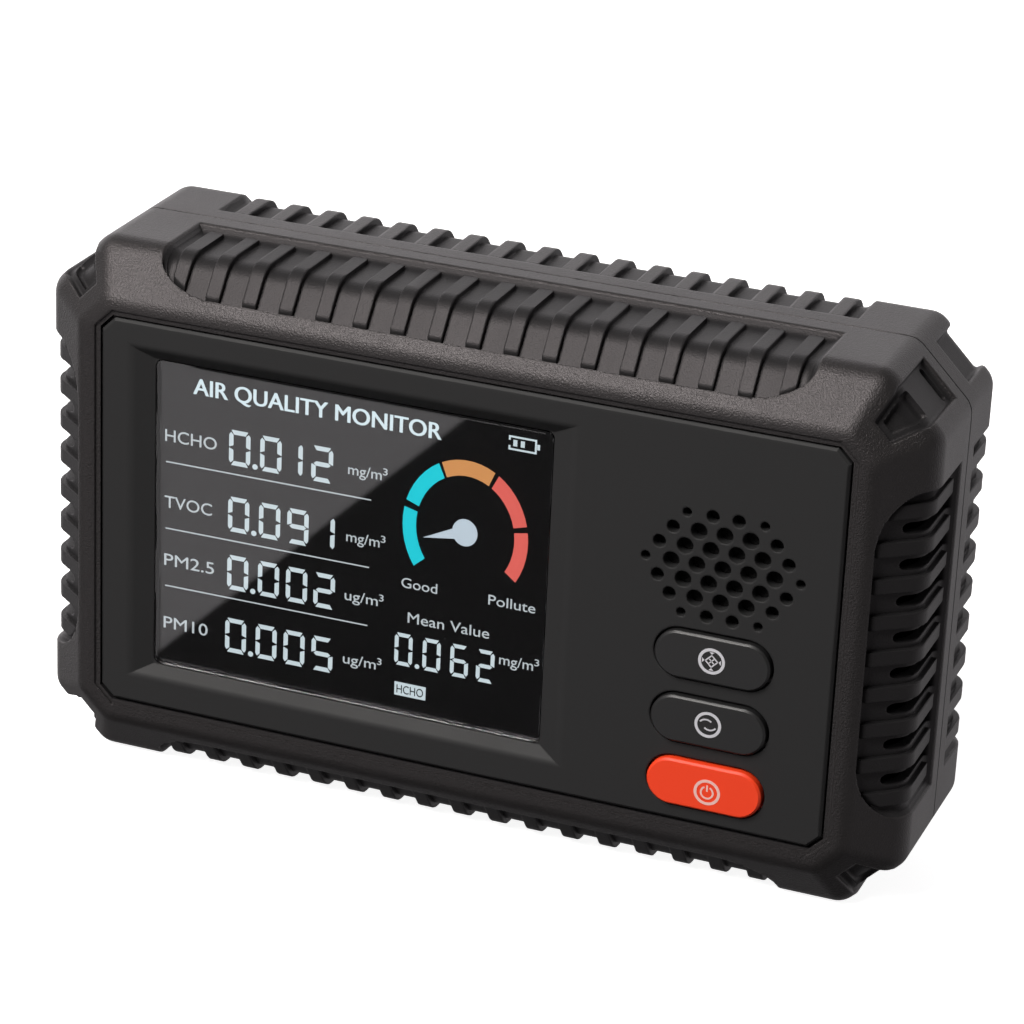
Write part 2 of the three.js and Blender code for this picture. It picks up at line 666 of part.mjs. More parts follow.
/** The charging socket's steel shell, with its contact tongue inside. */
function usbPort() {
  const { x, z, width, height, from, to, wall } = USB;
  const outer = slab(pill(width, height, x, z), from, to, 5);
  const hollow = slab(pill(width - 2 * wall, height - 2 * wall, x, z), from + 1, to + 1, 5);
  const { half, thick, short } = TONGUE;
  const up = [z - thick / 2, z + thick / 2];
  const tongue = box([x - half, x + half], [from + 0.5, to - short], up);
  return outer.subtract(hollow).add(tongue);
}

// ---- Screws ----

/** A pan head screw, its head towards the back. */
function screw(x, z, seat, { shaft, head, height, length, cross }) {
  const profile = [
    [0, -length], [shaft * 0.6, -length], [shaft, 1 - length], [shaft, 0],
    [head, 0], [head, height * 0.5], [head * 0.6, height], [0, height],
  ];
  const points = profile.map(([radius, along]) => new THREE.Vector2(radius, along));
  const body = new THREE.LatheGeometry(points, 10);
  body.translate(x, seat, z);
  if (!cross) return solid(body);
  const [arm, half] = [head * 0.62, head * 0.14];
  const y = [seat + height * 0.35, seat + height + 1];
  const across = box([x - arm, x + arm], y, [z - half, z + half]);
  const upright = box([x - half, x + half], y, [z - arm, z + arm]);
  return solid(body).subtract(across.add(upright));
}

// ---- Assembly ----

const monitor = new THREE.Group();
const inDepths = new THREE.Group();
inDepths.position.y = BUTTON.proud - (DEPTH + BUTTON.proud) / 2;
monitor.add(inDepths);

inDepths.add(
  piece("front_housing", frontHousing(), blackPlastic),
  piece("rear_housing", rearHousing(), blackPlastic),
  piece("faceplate", faceplate(), platePlastic),
  piece("display_lens", displayLens(), tintedGlass),
  piece("display_panel", displayPanel(), panelGlass),
  piece("display_frame", displayFrame(), steel),
  piece("display_ribbon", displayRibbon(), circuitBoard),
  piece("dust_filter", dustFilter(), foam),
  piece("fan_frame", fanFrame(), blackPlastic),
  piece("fan_rotor", fanRotor(), blackPlastic),
  piece("particle_sensor_case", particleSensorCase(), sensorPlastic),
  piece("particle_sensor_cover", particleSensorCover(), steel),
  piece("main_board", mainBoard(), circuitBoard),
  piece("button_board", buttonBoard(), circuitBoard),
  piece("formaldehyde_sensor", formaldehydeSensor(), whitePlastic),
  piece("voc_sensor", vocSensor(), steel),
  piece("alarm_buzzer", alarmBuzzer(), buttonPlastic),
  piece("battery", battery(), foil),
  piece("battery_pad", batteryPad(), foam),
  piece("charging_board", chargingBoard(), circuitBoard),
  piece("usb_port", usbPort(), steel),
);

["upper", "middle", "power"].forEach((label, i) => {
  const z = BUTTON_HEIGHTS[i];
  inDepths.add(
    piece(`${label}_button`, button(z), label === "power" ? redPlastic : buttonPlastic),
    piece(`${label}_switch_plunger`, switchPlunger(z), whitePlastic),
    piece(`${label}_switch_body`, switchBody(z), buttonPlastic),
  );
});

screwPlaces.forEach(([x, z], i) => {
  const seat = DEPTH - SCREW_WELL.depth + GAP;
  inDepths.add(piece(`housing_screw_${i + 1}`, screw(x, z, seat, HOUSING_SCREW), steel));
});

boardPlaces.forEach(([x, z], i) => {
  const seat = BOARD.y + BOARD.thick + GAP;
  inDepths.add(piece(`board_screw_${i + 1}`, screw(x, z, seat, BOARD_SCREW), steel));
});

export default monitor;
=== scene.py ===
"""Desktop air quality monitor: the looks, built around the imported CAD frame.

Moulded pieces are drawn as fields: a function of x, depth and height that is negative inside the
plastic and positive outside, in millimetres. contour() turns a field into a mesh. Depth is measured
from the flat front of the housing towards the back, and height from the housing's middle.
"""
import json
import math

import bmesh
import bpy
import numpy as np
from mathutils import Matrix, Vector


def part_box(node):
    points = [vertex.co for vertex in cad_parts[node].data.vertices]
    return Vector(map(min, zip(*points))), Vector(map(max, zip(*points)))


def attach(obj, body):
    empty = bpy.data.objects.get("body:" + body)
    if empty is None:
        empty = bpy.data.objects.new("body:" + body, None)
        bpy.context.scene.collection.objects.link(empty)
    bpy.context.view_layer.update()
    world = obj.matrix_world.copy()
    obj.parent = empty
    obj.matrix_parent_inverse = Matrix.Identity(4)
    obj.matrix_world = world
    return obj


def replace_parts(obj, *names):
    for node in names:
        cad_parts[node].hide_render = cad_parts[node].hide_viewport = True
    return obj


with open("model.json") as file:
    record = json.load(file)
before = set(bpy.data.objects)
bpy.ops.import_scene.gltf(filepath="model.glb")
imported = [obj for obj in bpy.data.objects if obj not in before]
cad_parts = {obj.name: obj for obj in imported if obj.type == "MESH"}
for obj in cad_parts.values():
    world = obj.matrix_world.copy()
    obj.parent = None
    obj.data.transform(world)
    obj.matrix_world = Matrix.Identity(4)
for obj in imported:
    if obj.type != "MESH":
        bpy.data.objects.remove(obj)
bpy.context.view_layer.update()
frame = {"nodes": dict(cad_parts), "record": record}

# The housing's front plane and the height of its middle, in millimetres in the frame
MM = 0.001
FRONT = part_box("front_housing")[0].y / MM
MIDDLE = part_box("front_housing")[1].z / MM / 2
ROOT2 = math.sqrt(2)

# ---- Driving dimensions, in millimetres ----

# Housing
HALF_WIDTH = 75.0
HALF_HEIGHT = 45.5
DEPTH = 44.0
CORNER = 9.5
BEVEL_INSET = 8.5
BEVEL_DEPTH = 6.6
WALL = 3.2
FRONT_WALL_BACK = 4.5
SEAM = 23.0
GAP = 0.3
LIP = {"thick": 1.2, "reach": 1.8, "root": 3.0, "foot": 1.0, "overlap": 0.2}
SEAM_GROOVE = 0.6
EDGE_BLEND = {"upright": 1.2, "shoulder": 1.85, "facet": 0.5, "front": 0.9}
DISPLAY_OPENING = {"x": -19.5, "c": 0.75, "half": (38, 29.75), "corner": 1}
CONTROL_OPENING = {"c": -5.1, "half": (14.8, 26.6), "corner": 1}
OPENING_DEPTH = 6

# Grip recesses, ribs and vent slots
FRONT_GRIP = {"floor": 1.45, "rib_top": 0.6, "behind_rib": 1.7}
REAR_GRIP = {"floor": 1.2, "rib_top": 0.2, "behind_rib": 0.3}
LEDGE = {"width": 0.7, "depth": 1.1}
RAMP = 1.0
RIB_HALF = 1.25
RIB_END = 0.15
GRAIN_DEPTH = 0.35
RIDGE_FRONT = 19.6
RIDGE_BACK = 26.8
LONG_RECESS = {"half": 55, "edge": 1.9, "corner": (11, 4.5), "ribs": 17, "pitch": 6.37}
SHORT_RECESS = {"half": 28, "edge": 0.8, "corner": (10, 5.9), "ribs": 9, "pitch": 6.1}
VENT_SLOT = {"half": 0.9, "from": 4.9, "to": 18.6, "reach": 62}

# Corner pockets, front and rear
POCKET = {"half": 3.8, "tip": 2, "edge": 2.9, "shoulder": 7, "back": 19.7, "depth": 0.9}
POCKET_HOLLOW = {"rim": 1.2, "to": 9.4, "depth": 1.9}
POCKET_GROOVE = {"half": 3.1, "from": 17.3, "to": 18.7, "depth": 1.8}
NOTCH = {"half": 3.9, "from": 27.8, "depth": 1.2}

# Faceplate
PLATE = {"half": (62.75, 33.7), "middle": 0.6, "corner": 2.2, "thick": 2.0, "gap": 0.35}
PLATE_BEVEL = 0.4
SEAT_STEP = {"width": 0.9, "depth": 0.3}
WINDOW = {"left": -53.8, "right": 14.8, "bottom": -25.9, "top": 28.1, "corner": 1.3, "sunk": 1.5}
WINDOW_FRAME = {"wide": 3.0, "from": 1.5, "to": 4.0, "lip": 0.4}
WINDOW_SLOPE = {"side": 3.7, "end": 2.0}
LENS = {"thick": 1.2, "gap": 0.15}
SCREEN = {"front": 3.0, "shoulder": 4.3, "back": 6.2, "margin": 0.6, "overlap": 0.2}
GRILLE = {"x": 43.8, "c": 11.15, "pitch": 4.2, "row": 2.81, "rings": 3}
GRILLE_RADII = {"inner": 1.32, "edge": 1.03, "corner": 0.73}

# Buttons
BUTTON = {"x": 43.3, "length": 19.0, "height": 8.0, "proud": 0.9, "gap": 0.35, "bevel": 0.35}
BUTTON_HEIGHTS = {"upper": -4.15, "middle": -15.25, "power": -26.25}
BUTTON_FLANGE = {"length": 22.4, "height": 9.6, "corner": 1.5, "from": 2.3, "to": 3.4, "overlap": 0.2}
BUTTON_STEM = {"radius": 2.0, "from": 2.0, "to": 5.6}

# Back
SCREW_PLACE = (60, 30)
SCREW_WELL = {"radius": 3.3, "depth": 13}
SCREW_POST = {"radius": 4.6, "from": 1.0, "hole": 1.7}
BACK_PANEL = {"half": (52, 25), "corner": 4, "sunk": 0.8}
PORT = {"x": -30, "c": -31.1, "half": (4.9, 2.05), "bevel": (6, 3.15), "sunk": 1.2, "through": 3.0}


# How far the edges between one shape and the next are rounded
ROUND = {
    "recess": 0.6, "rib": 0.25, "rib_end": 0.35, "grip": 0.25, "pocket": 0.7, "hollow": 0.8,
    "corner": 0.6, "slot": 0.3, "seat": 0.15, "notch": 0.8, "well": 0.4, "panel": 0.5,
    "port": 0.4, "funnel": 0.35, "hole": 0.2, "cap": 0.2,
}
# Any distance beyond the reach of a cut
FAR = 9.0

# ---- Fields ----


def blend_max(a, b, width):
    """Intersection of two fields, with the edge between them rounded."""
    return np.maximum(a, b) + np.maximum(width - np.abs(a - b), 0) ** 2 / (4 * width)


def rounded_box(x, y, half, radius):
    """Flat field of a rectangle with rounded corners."""
    qx = np.abs(x) - half[0] + radius
    qy = np.abs(y) - half[1] + radius
    outside = np.hypot(np.maximum(qx, 0), np.maximum(qy, 0))
    return outside + np.minimum(np.maximum(qx, qy), 0) - radius


def cut_box(x, y, half, corner):
    """Flat field of a rectangle with 45 degree corners."""
    ax, ay = np.abs(x), np.abs(y)
    diagonal = (ax + ay - half[0] - half[1] + corner) / ROOT2
    return np.maximum(np.maximum(ax - half[0], ay - half[1]), diagonal)


def pill(x, y, length, height):
    """Flat field of a bar with round ends."""
    return np.hypot(np.maximum(np.abs(x) - (length - height) / 2, 0), y) - height / 2


def outer_sides(x, d, c):
    """The housing's outside without its front: straight sides, chamfered corners and the bevel."""
    ax, ac = np.abs(x), np.abs(c)
    corner_sum = HALF_WIDTH + HALF_HEIGHT - CORNER
    diagonal = (ax + ac) / ROOT2
    flats = np.maximum(ax - HALF_WIDTH, ac - HALF_HEIGHT)
    sides = blend_max(flats, diagonal - corner_sum / ROOT2, EDGE_BLEND["upright"])
    length = math.hypot(BEVEL_INSET, BEVEL_DEPTH)
    out, front = BEVEL_DEPTH / length, BEVEL_INSET / length
    flat_bevels = np.maximum(ax - HALF_WIDTH, ac - HALF_HEIGHT) + BEVEL_INSET
    corner_bevel = diagonal - corner_sum / ROOT2 + BEVEL_INSET
    bevel = blend_max(flat_bevels * out, corner_bevel * out, EDGE_BLEND["facet"]) - front * d
    return blend_max(sides, bevel, EDGE_BLEND["shoulder"])


def recess_outline(u, d, recess):
    """Outline of a grip recess towards the face: a straight edge with elliptical corners."""
    length, reach = recess["corner"]
    p = np.abs(u) - recess["half"] + length
    q = recess["edge"] + reach - d
    straight = np.maximum(p - length, q - reach)
    value = (p / length) ** 2 + (q / reach) ** 2 - 1
    slope = 2 * np.hypot(p / length**2, q / reach**2) + 1e-6
    return np.where((p > 0) & (q > 0), value / slope, straight)


def nearest_rib(u, recess):
    """Distance from the middle of the nearest rib."""
    last = (recess["ribs"] - 1) / 2
    return u - recess["pitch"] * np.clip(np.round(u / recess["pitch"]), -last, last)


def grip(u, d, surface, recess, ridge, size):
    """What one grip recess takes out of the housing: negative where there is no plastic.

    u runs along the recess, and surface is the field of the housing's outside.
    """
    outline = recess_outline(u, d, recess)
    inside = outline + LEDGE["width"]
    ends = np.maximum(np.abs(u) - recess["half"], d - ridge)
    walls = (ends - RAMP * surface) / math.hypot(1, RAMP)
    step = np.maximum(outline, -surface - LEDGE["depth"])
    hollow = np.maximum(inside, -surface - size["floor"])
    cut = blend_max(np.minimum(step, hollow), walls, ROUND["recess"])

    across = np.abs(nearest_rib(u, recess))
    end = np.maximum(inside + RIB_END, d - ridge + size["behind_rib"])
    rib = blend_max(across - RIB_HALF, surface + size["rib_top"], ROUND["rib"])
    rib = blend_max(rib, end, ROUND["rib_end"])
    return np.maximum(cut, -rib)


def corner_distance(x, c):
    """Distance along the corner chamfer from its middle."""
    offset = HALF_WIDTH - HALF_HEIGHT
    return np.abs(np.abs(x) - np.abs(c) - offset) / ROOT2


def pocket(x, d, c, surface):
    """What the pocket in a front corner chamfer takes out."""
    t = corner_distance(x, c)
    taper = (POCKET["half"] - POCKET["tip"]) / (POCKET["shoulder"] - POCKET["edge"])
    side = (t - POCKET["tip"] - taper * (d - POCKET["edge"])) / math.hypot(1, taper)
    front = np.maximum(np.maximum(t - POCKET["half"], side), POCKET["edge"] - d)
    cut = np.maximum(front, d - POCKET["back"])
    cut = blend_max(cut, -surface - POCKET["depth"], ROUND["pocket"])
    inner = blend_max(front + POCKET_HOLLOW["rim"], d - POCKET_HOLLOW["to"], ROUND["hollow"])
    inner = blend_max(inner, -surface - POCKET_HOLLOW["depth"], ROUND["hollow"])
    cut = np.minimum(cut, inner)
    middle = (POCKET_GROOVE["from"] + POCKET_GROOVE["to"]) / 2
    width = POCKET_GROOVE["to"] - POCKET_GROOVE["from"]
    groove = pill(t, d - middle, 2 * POCKET_GROOVE["half"], width)
    groove = np.maximum(groove, -surface - POCKET_GROOVE["depth"])
    return np.minimum(cut, groove)


def on_chamfer(x, c):
    """Negative near the four corner chamfers."""
    return HALF_WIDTH + HALF_HEIGHT - 3 * CORNER - np.abs(x) - np.abs(c)


def front_housing_field(x, d, c):
    """The hollow front half, open at the seam."""
    sides = outer_sides(x, d, c)
    shell = blend_max(sides, -d, EDGE_BLEND["front"])
    cavity = np.maximum(sides + WALL, FRONT_WALL_BACK - d)
    long_grip = grip(x, d, sides, LONG_RECESS, RIDGE_FRONT, FRONT_GRIP)
    short_grip = grip(c, d, sides, SHORT_RECESS, RIDGE_FRONT, FRONT_GRIP)
    shell = blend_max(shell, -np.minimum(long_grip, short_grip), ROUND["grip"])
    corner = np.maximum(pocket(x, d, c, sides), on_chamfer(x, c))
    shell = blend_max(shell, -corner, ROUND["corner"])
    shell = np.maximum(shell, -cavity)

    # Vent slots between the ribs of the short recesses
    outermost = (SHORT_RECESS["ribs"] - 1) / 2
    gap_middle = np.abs(nearest_rib(c, SHORT_RECESS)) - SHORT_RECESS["pitch"] / 2
    gap_middle = np.where(np.abs(c) < SHORT_RECESS["pitch"] * outermost, gap_middle, FAR)
    nose = np.maximum(VENT_SLOT["from"] + VENT_SLOT["half"] - d, 0)
    slot = np.maximum(np.hypot(nose, gap_middle) - VENT_SLOT["half"], d - VENT_SLOT["to"])
    slot = np.maximum(slot, VENT_SLOT["reach"] - np.abs(x))
    shell = blend_max(shell, -slot, ROUND["slot"])

    # Seat of the faceplate, with openings for the display and the controls behind it
    half = [h + PLATE["gap"] for h in PLATE["half"]]
    seat = cut_box(x, c - PLATE["middle"], half, PLATE["corner"])
    seat = np.maximum(seat, d - PLATE["thick"] - GAP)
    around = [h + PLATE["gap"] + SEAT_STEP["width"] for h in PLATE["half"]]
    step = cut_box(x, c - PLATE["middle"], around, PLATE["corner"] + SEAT_STEP["width"])
    seat = np.minimum(seat, np.maximum(step, d - SEAT_STEP["depth"]))
    shell = blend_max(shell, -seat, ROUND["seat"])
    size = (DISPLAY_OPENING["half"], DISPLAY_OPENING["corner"])
    display_opening = rounded_box(x - DISPLAY_OPENING["x"], c - DISPLAY_OPENING["c"], *size)
    size = (CONTROL_OPENING["half"], CONTROL_OPENING["corner"])
    control_opening = rounded_box(x - BUTTON["x"], c - CONTROL_OPENING["c"], *size)
    openings = np.maximum(np.minimum(display_opening, control_opening), d - OPENING_DEPTH)
    shell = np.maximum(shell, -openings)
    return np.maximum(shell, d - SEAM + GAP / 2)


def locating_lip(sides, d):
    """Lip of the rear housing, which reaches into the front one, and its root on the wall."""
    inner = -sides - WALL - GAP - LIP["thick"]
    root = np.maximum(sides + WALL - LIP["overlap"], inner)
    root = np.maximum(root, np.maximum(SEAM + GAP / 2 - d, d - SEAM - LIP["root"]))
    lip = np.maximum(sides + WALL + GAP, inner)
    lip = np.maximum(lip, np.maximum(SEAM - LIP["reach"] - d, d - SEAM - LIP["foot"]))
    return np.minimum(root, lip)


def rear_housing_field(x, d, c):
    """The hollow rear half. It mirrors the front one, so b is the distance from the back."""
    b = DEPTH - d
    sides = outer_sides(x, b, c)
    shell = blend_max(sides, -b, EDGE_BLEND["front"])
    cavity = np.maximum(sides + WALL, FRONT_WALL_BACK - b)
    ridge = DEPTH - RIDGE_BACK
    long_grip = grip(x, b, sides, LONG_RECESS, ridge, REAR_GRIP)
    short_grip = grip(c, b, sides, SHORT_RECESS, ridge, REAR_GRIP)
    shell = blend_max(shell, -np.minimum(long_grip, short_grip), ROUND["grip"])
    notch = np.maximum(corner_distance(x, c) - NOTCH["half"], NOTCH["from"] - d)
    notch = blend_max(notch, -sides - NOTCH["depth"], ROUND["notch"])
    shell = blend_max(shell, -np.maximum(notch, on_chamfer(x, c)), ROUND["notch"])
    shell = np.maximum(shell, -cavity)

    # Posts and wells for the housing screws
    to_screw = np.hypot(np.abs(x) - SCREW_PLACE[0], np.abs(c) - SCREW_PLACE[1])
    post = np.maximum(SCREW_POST["from"] - b, SEAM + GAP / 2 - d)
    post = np.maximum(to_screw - SCREW_POST["radius"], post)
    shell = np.minimum(shell, np.maximum(post, sides + SCREW_POST["from"]))
    well = np.maximum(to_screw - SCREW_WELL["radius"], b - SCREW_WELL["depth"])
    shell = blend_max(shell, -well, ROUND["well"])
    shell = np.maximum(shell, SCREW_POST["hole"] - to_screw)

    # Shallow panel and the charging port
    panel = cut_box(x, c, BACK_PANEL["half"], BACK_PANEL["corner"])
    panel = np.maximum(panel, b - BACK_PANEL["sunk"])
    shell = blend_max(shell, -panel, ROUND["panel"])
    px, pc = x - PORT["x"], c - PORT["c"]
    bevel = np.maximum(rounded_box(px, pc, PORT["bevel"], PORT["bevel"][1]), b - PORT["sunk"])
    opening = rounded_box(px, pc, PORT["half"], PORT["half"][1])
    opening = np.maximum(opening, b - WALL - PORT["through"])
    shell = np.maximum(blend_max(shell, -bevel, ROUND["port"]), -opening)

    # The seam is a shallow groove outside, and its halves meet behind that
    meeting = np.maximum(SEAM - GAP / 2 - d, sides + SEAM_GROOVE)
    shell = np.maximum(shell, np.minimum(SEAM + GAP / 2 - d, meeting))
    return np.minimum(shell, locating_lip(sides, d))


def window_field(x, c, grow=0.0):
    """Flat field of the display window."""
    left, right, bottom, top = (WINDOW[k] for k in ("left", "right", "bottom", "top"))
    half = ((right - left) / 2 + grow, (top - bottom) / 2 + grow)
    middle_x, middle_c = (right + left) / 2, (top + bottom) / 2
    return rounded_box(x - middle_x, c - middle_c, half, WINDOW["corner"] + grow)


def grille_holes():
    """Places and radii of the grille's holes, in rings of a hexagon."""
    holes = []
    rings = GRILLE["rings"]
    for row in range(-rings, rings + 1):
        count = 2 * rings + 1 - abs(row)
        for i in range(count):
            column = i - (count - 1) / 2
            at_end = i in (0, count - 1)
            at_edge = at_end or abs(row) == rings
            at_corner = at_end and (row == 0 or abs(row) == rings)
            size = "corner" if at_corner else "edge" if at_edge else "inner"
            place = (GRILLE["x"] + column * GRILLE["pitch"], GRILLE["c"] + row * GRILLE["row"])
            holes.append((*place, GRILLE_RADII[size]))
    return holes


def faceplate_field(x, d, c):
    """The inlay with its sloped window, the grille's holes and the openings of the keys."""
    plate = cut_box(x, c - PLATE["middle"], PLATE["half"], PLATE["corner"])
    bevel = (plate - d + PLATE_BEVEL) / ROOT2
    slab = np.maximum(np.maximum(plate, bevel), np.maximum(-d, d - PLATE["thick"]))
    frame_back = np.maximum(window_field(x, c, WINDOW_FRAME["wide"]), d - WINDOW_FRAME["to"])
    slab = np.minimum(slab, np.maximum(frame_back, WINDOW_FRAME["from"] - d))

    # Funnel from the face down to the window
    part = 1 - d / WINDOW["sunk"]
    side = WINDOW_SLOPE["side"]
    end = WINDOW_SLOPE["end"]
    across = np.maximum(x - WINDOW["right"] - side * part, WINDOW["left"] - side * part - x)
    along = np.maximum(c - WINDOW["top"] - end * part, WINDOW["bottom"] - end * part - c)
    across = across / math.hypot(1, side / WINDOW["sunk"])
    along = along / math.hypot(1, end / WINDOW["sunk"])
    funnel = np.maximum(np.maximum(across, along), d - WINDOW["sunk"])
    slab = blend_max(slab, -funnel, ROUND["funnel"])
    through = np.maximum(window_field(x, c), WINDOW["sunk"] - WINDOW_FRAME["lip"] - d)
    slab = np.maximum(slab, -through)

    # Grille and keys
    holes = np.full(np.broadcast(x, c).shape, FAR, np.float32)
    for hx, hc, radius in grille_holes():
        holes = np.minimum(holes, np.hypot(x - hx, c - hc) - radius)
    length, height = BUTTON["length"] + 2 * BUTTON["gap"], BUTTON["height"] + 2 * BUTTON["gap"]
    for middle in BUTTON_HEIGHTS.values():
        holes = np.minimum(holes, pill(x - BUTTON["x"], c - middle, length, height))
    return blend_max(slab, -holes, ROUND["hole"])


def button_field(height):
    """Field of the key whose middle is at this height: a cap, a flange behind it and a stem."""

    def field(x, d, c):
        u, v = x - BUTTON["x"], c - height
        outline = pill(u, v, BUTTON["length"], BUTTON["height"])
        bevel = (outline - d - BUTTON["proud"] + BUTTON["bevel"]) / ROOT2
        cap = np.maximum(blend_max(outline, -d - BUTTON["proud"], ROUND["cap"]), bevel)
        cap = np.maximum(cap, d - BUTTON_FLANGE["from"] - BUTTON_FLANGE["overlap"])
        half = (BUTTON_FLANGE["length"] / 2, BUTTON_FLANGE["height"] / 2)
        flange = rounded_box(u, v, half, BUTTON_FLANGE["corner"])
        flange = np.maximum(flange, np.maximum(BUTTON_FLANGE["from"] - d, d - BUTTON_FLANGE["to"]))
        stem = np.maximum(BUTTON_STEM["from"] - d, d - BUTTON_STEM["to"])
        stem = np.maximum(np.hypot(u, v) - BUTTON_STEM["radius"], stem)
        return np.minimum(np.minimum(cap, flange), stem)

    return field


def lens_field(x, d, c):
    slab = np.maximum(WINDOW["sunk"] - d, d - WINDOW["sunk"] - LENS["thick"])
    return np.maximum(window_field(x, c, -LENS["gap"]), slab)


def screen_field(x, d, c):
    """The display's glass, which fits into the window, on its wider backlight."""
    glass = np.maximum(SCREEN["front"] - d, d - SCREEN["shoulder"] - SCREEN["overlap"])
    glass = np.maximum(window_field(x, c, -GAP), glass)
    light = np.maximum(SCREEN["shoulder"] - d, d - SCREEN["back"])
    light = np.maximum(window_field(x, c, SCREEN["margin"]), light)
    return np.minimum(glass, light)


# ---- From field to mesh ----


def gradient(field, points, reach=0.04):
    """Unit normals of the field at the points."""
    x, d, c = points.T
    grad = np.stack(
        [
            field(x + reach, d, c) - field(x - reach, d, c),
            field(x, d + reach, c) - field(x, d - reach, c),
            field(x, d, c + reach) - field(x, d, c - reach),
        ],
        axis=1,
    )
    return grad / np.maximum(np.linalg.norm(grad, axis=1, keepdims=True), 1e-9)


def sample(field, axes):
    """The field on a grid, filled in slices to save memory."""
    x, d, c = axes
    values = np.empty((len(x), len(d), len(c)), np.float32)
    for i in range(0, len(x), 24):
        values[i : i + 24] = field(x[i : i + 24, None, None], d[None, :, None], c[None, None, :])
    return values


def share_of(low, high):
    """Where between two values the field is zero, as a share of the way."""
    return low / (low - high + 1e-12 * np.sign(low - high))


def crossings(field, values, axes, axis, step):
    """Where the surface crosses the grid lines along one axis, and which way the solid lies."""
    origin = np.array([a[0] for a in axes])
    ahead = np.roll(values, -1, axis)
    crossed = (values < 0) != (ahead < 0)
    edge = [slice(None)] * 3
    edge[axis] = -1
    crossed[tuple(edge)] = False
    cell = np.argwhere(crossed)
    low = values[crossed].astype(float)
    high = ahead[crossed].astype(float)
    filled = low < 0
    near, far = np.zeros(len(cell)), np.ones(len(cell))
    start = origin + cell * step
    along = np.zeros(3)
    along[axis] = step
    for _ in range(3):
        share = near + (far - near) * np.clip(share_of(low, high), 0.05, 0.95)
        points = start + share[:, None] * along
        here = field(*points.T)
        same = (here < 0) == filled
        near = np.where(same, share, near)
        low = np.where(same, here, low)
        far = np.where(same, far, share)
        high = np.where(same, high, here)
    share = near + (far - near) * share_of(low, high)
    return cell, start + share[:, None] * along, filled


def contour(field, low, high, step):
    """Points and quads of the surface where the field is zero, by dual contouring.

    Each cell of the grid that the surface passes through gets one point, which lies where the
    planes through its crossings meet, so that sharp edges are kept.
    """
    axes = [np.arange(a - 1.5 * step, b + 2.5 * step, step) for a, b in zip(low, high)]
    shape = [len(a) for a in axes]
    values = sample(field, axes)
    ids, normals, points, quads = [], [], [], []
    strides = np.array([shape[1] * shape[2], shape[2], 1])
    for axis in range(3):
        cell, where, filled = crossings(field, values, axes, axis, step)
        normal = gradient(field, where)
        base = cell @ strides
        u, v = strides[(axis + 1) % 3], strides[(axis + 2) % 3]
        around = np.stack([base - u - v, base - v, base, base - u], axis=1)
        around[~filled] = around[~filled][:, ::-1]
        quads.append(around)
        ids.append(around.ravel())
        normals.append(np.repeat(normal, 4, axis=0))
        points.append(np.repeat(where, 4, axis=0))
    ids, normals, points = np.concatenate(ids), np.concatenate(normals), np.concatenate(points)
    used, index = np.unique(ids, return_inverse=True)
    count = np.bincount(index).astype(float)

    def total(weights):
        return np.bincount(index, weights)

    middle = np.stack([total(points[:, i]) for i in range(3)], axis=1) / count[:, None]
    offset = np.einsum("ij,ij->i", normals, points - middle[index])
    right = np.stack([total(normals[:, i] * offset) for i in range(3)], axis=1)
    left = np.empty((len(used), 3, 3))
    for i in range(3):
        for j in range(i, 3):
            left[:, i, j] = left[:, j, i] = total(normals[:, i] * normals[:, j])
    # A slight pull towards the middle keeps points on flat areas in place
    left += np.eye(3) * (0.06 * count)[:, None, None]
    moved = middle + np.linalg.solve(left, right[:, :, None])[:, :, 0]
    corner = np.stack(np.unravel_index(used, shape), axis=1)
    cell_low = np.array([a[0] for a in axes]) + corner * step
    moved = np.clip(moved, cell_low + 0.02 * step, cell_low + 0.98 * step)
    quads = np.searchsorted(used, np.concatenate(quads))
    return moved, quads


def added(name, data):
    """A new object in the scene."""
    obj = bpy.data.objects.new(name, data)
    bpy.context.scene.collection.objects.link(obj)
    return obj


def placed(name, mesh, body):
    """The mesh as a piece, taken from the millimetres of its fields into the frame."""
    mesh.transform(Matrix.Translation((0, FRONT * MM, MIDDLE * MM)) @ Matrix.Scale(MM, 4))
    obj = added(name, mesh)
    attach(obj, body)
    return obj


def mesh_from(name, points, quads):
    """A mesh made from arrays in one go."""
    mesh = bpy.data.meshes.new(name)
    mesh.vertices.add(len(points))
    mesh.vertices.foreach_set("co", points.ravel())
    mesh.loops.add(quads.size)
    mesh.loops.foreach_set("vertex_index", quads.ravel().astype(np.int32))
    mesh.polygons.add(len(quads))
    starts = np.arange(0, quads.size, quads.shape[1], dtype=np.int32)
    mesh.polygons.foreach_set("loop_start", starts)
    mesh.update(calc_edges=True)
    mesh.validate()
    return mesh


def evaluated_mesh(obj):
    """The object's mesh with its modifiers applied, as a copy."""
    return bpy.data.meshes.new_from_object(obj.evaluated_get(bpy.context.evaluated_depsgraph_get()))


def thinned(mesh, keep):
    """The mesh with its flat areas made of fewer, larger triangles."""
    obj = added("thinning", mesh)
    modifier = obj.modifiers.new("thin", "DECIMATE")
    modifier.ratio = keep
    modifier.use_collapse_triangulate = True
    result = evaluated_mesh(obj)
    bpy.data.objects.remove(obj)
    bpy.data.meshes.remove(mesh)
    return result


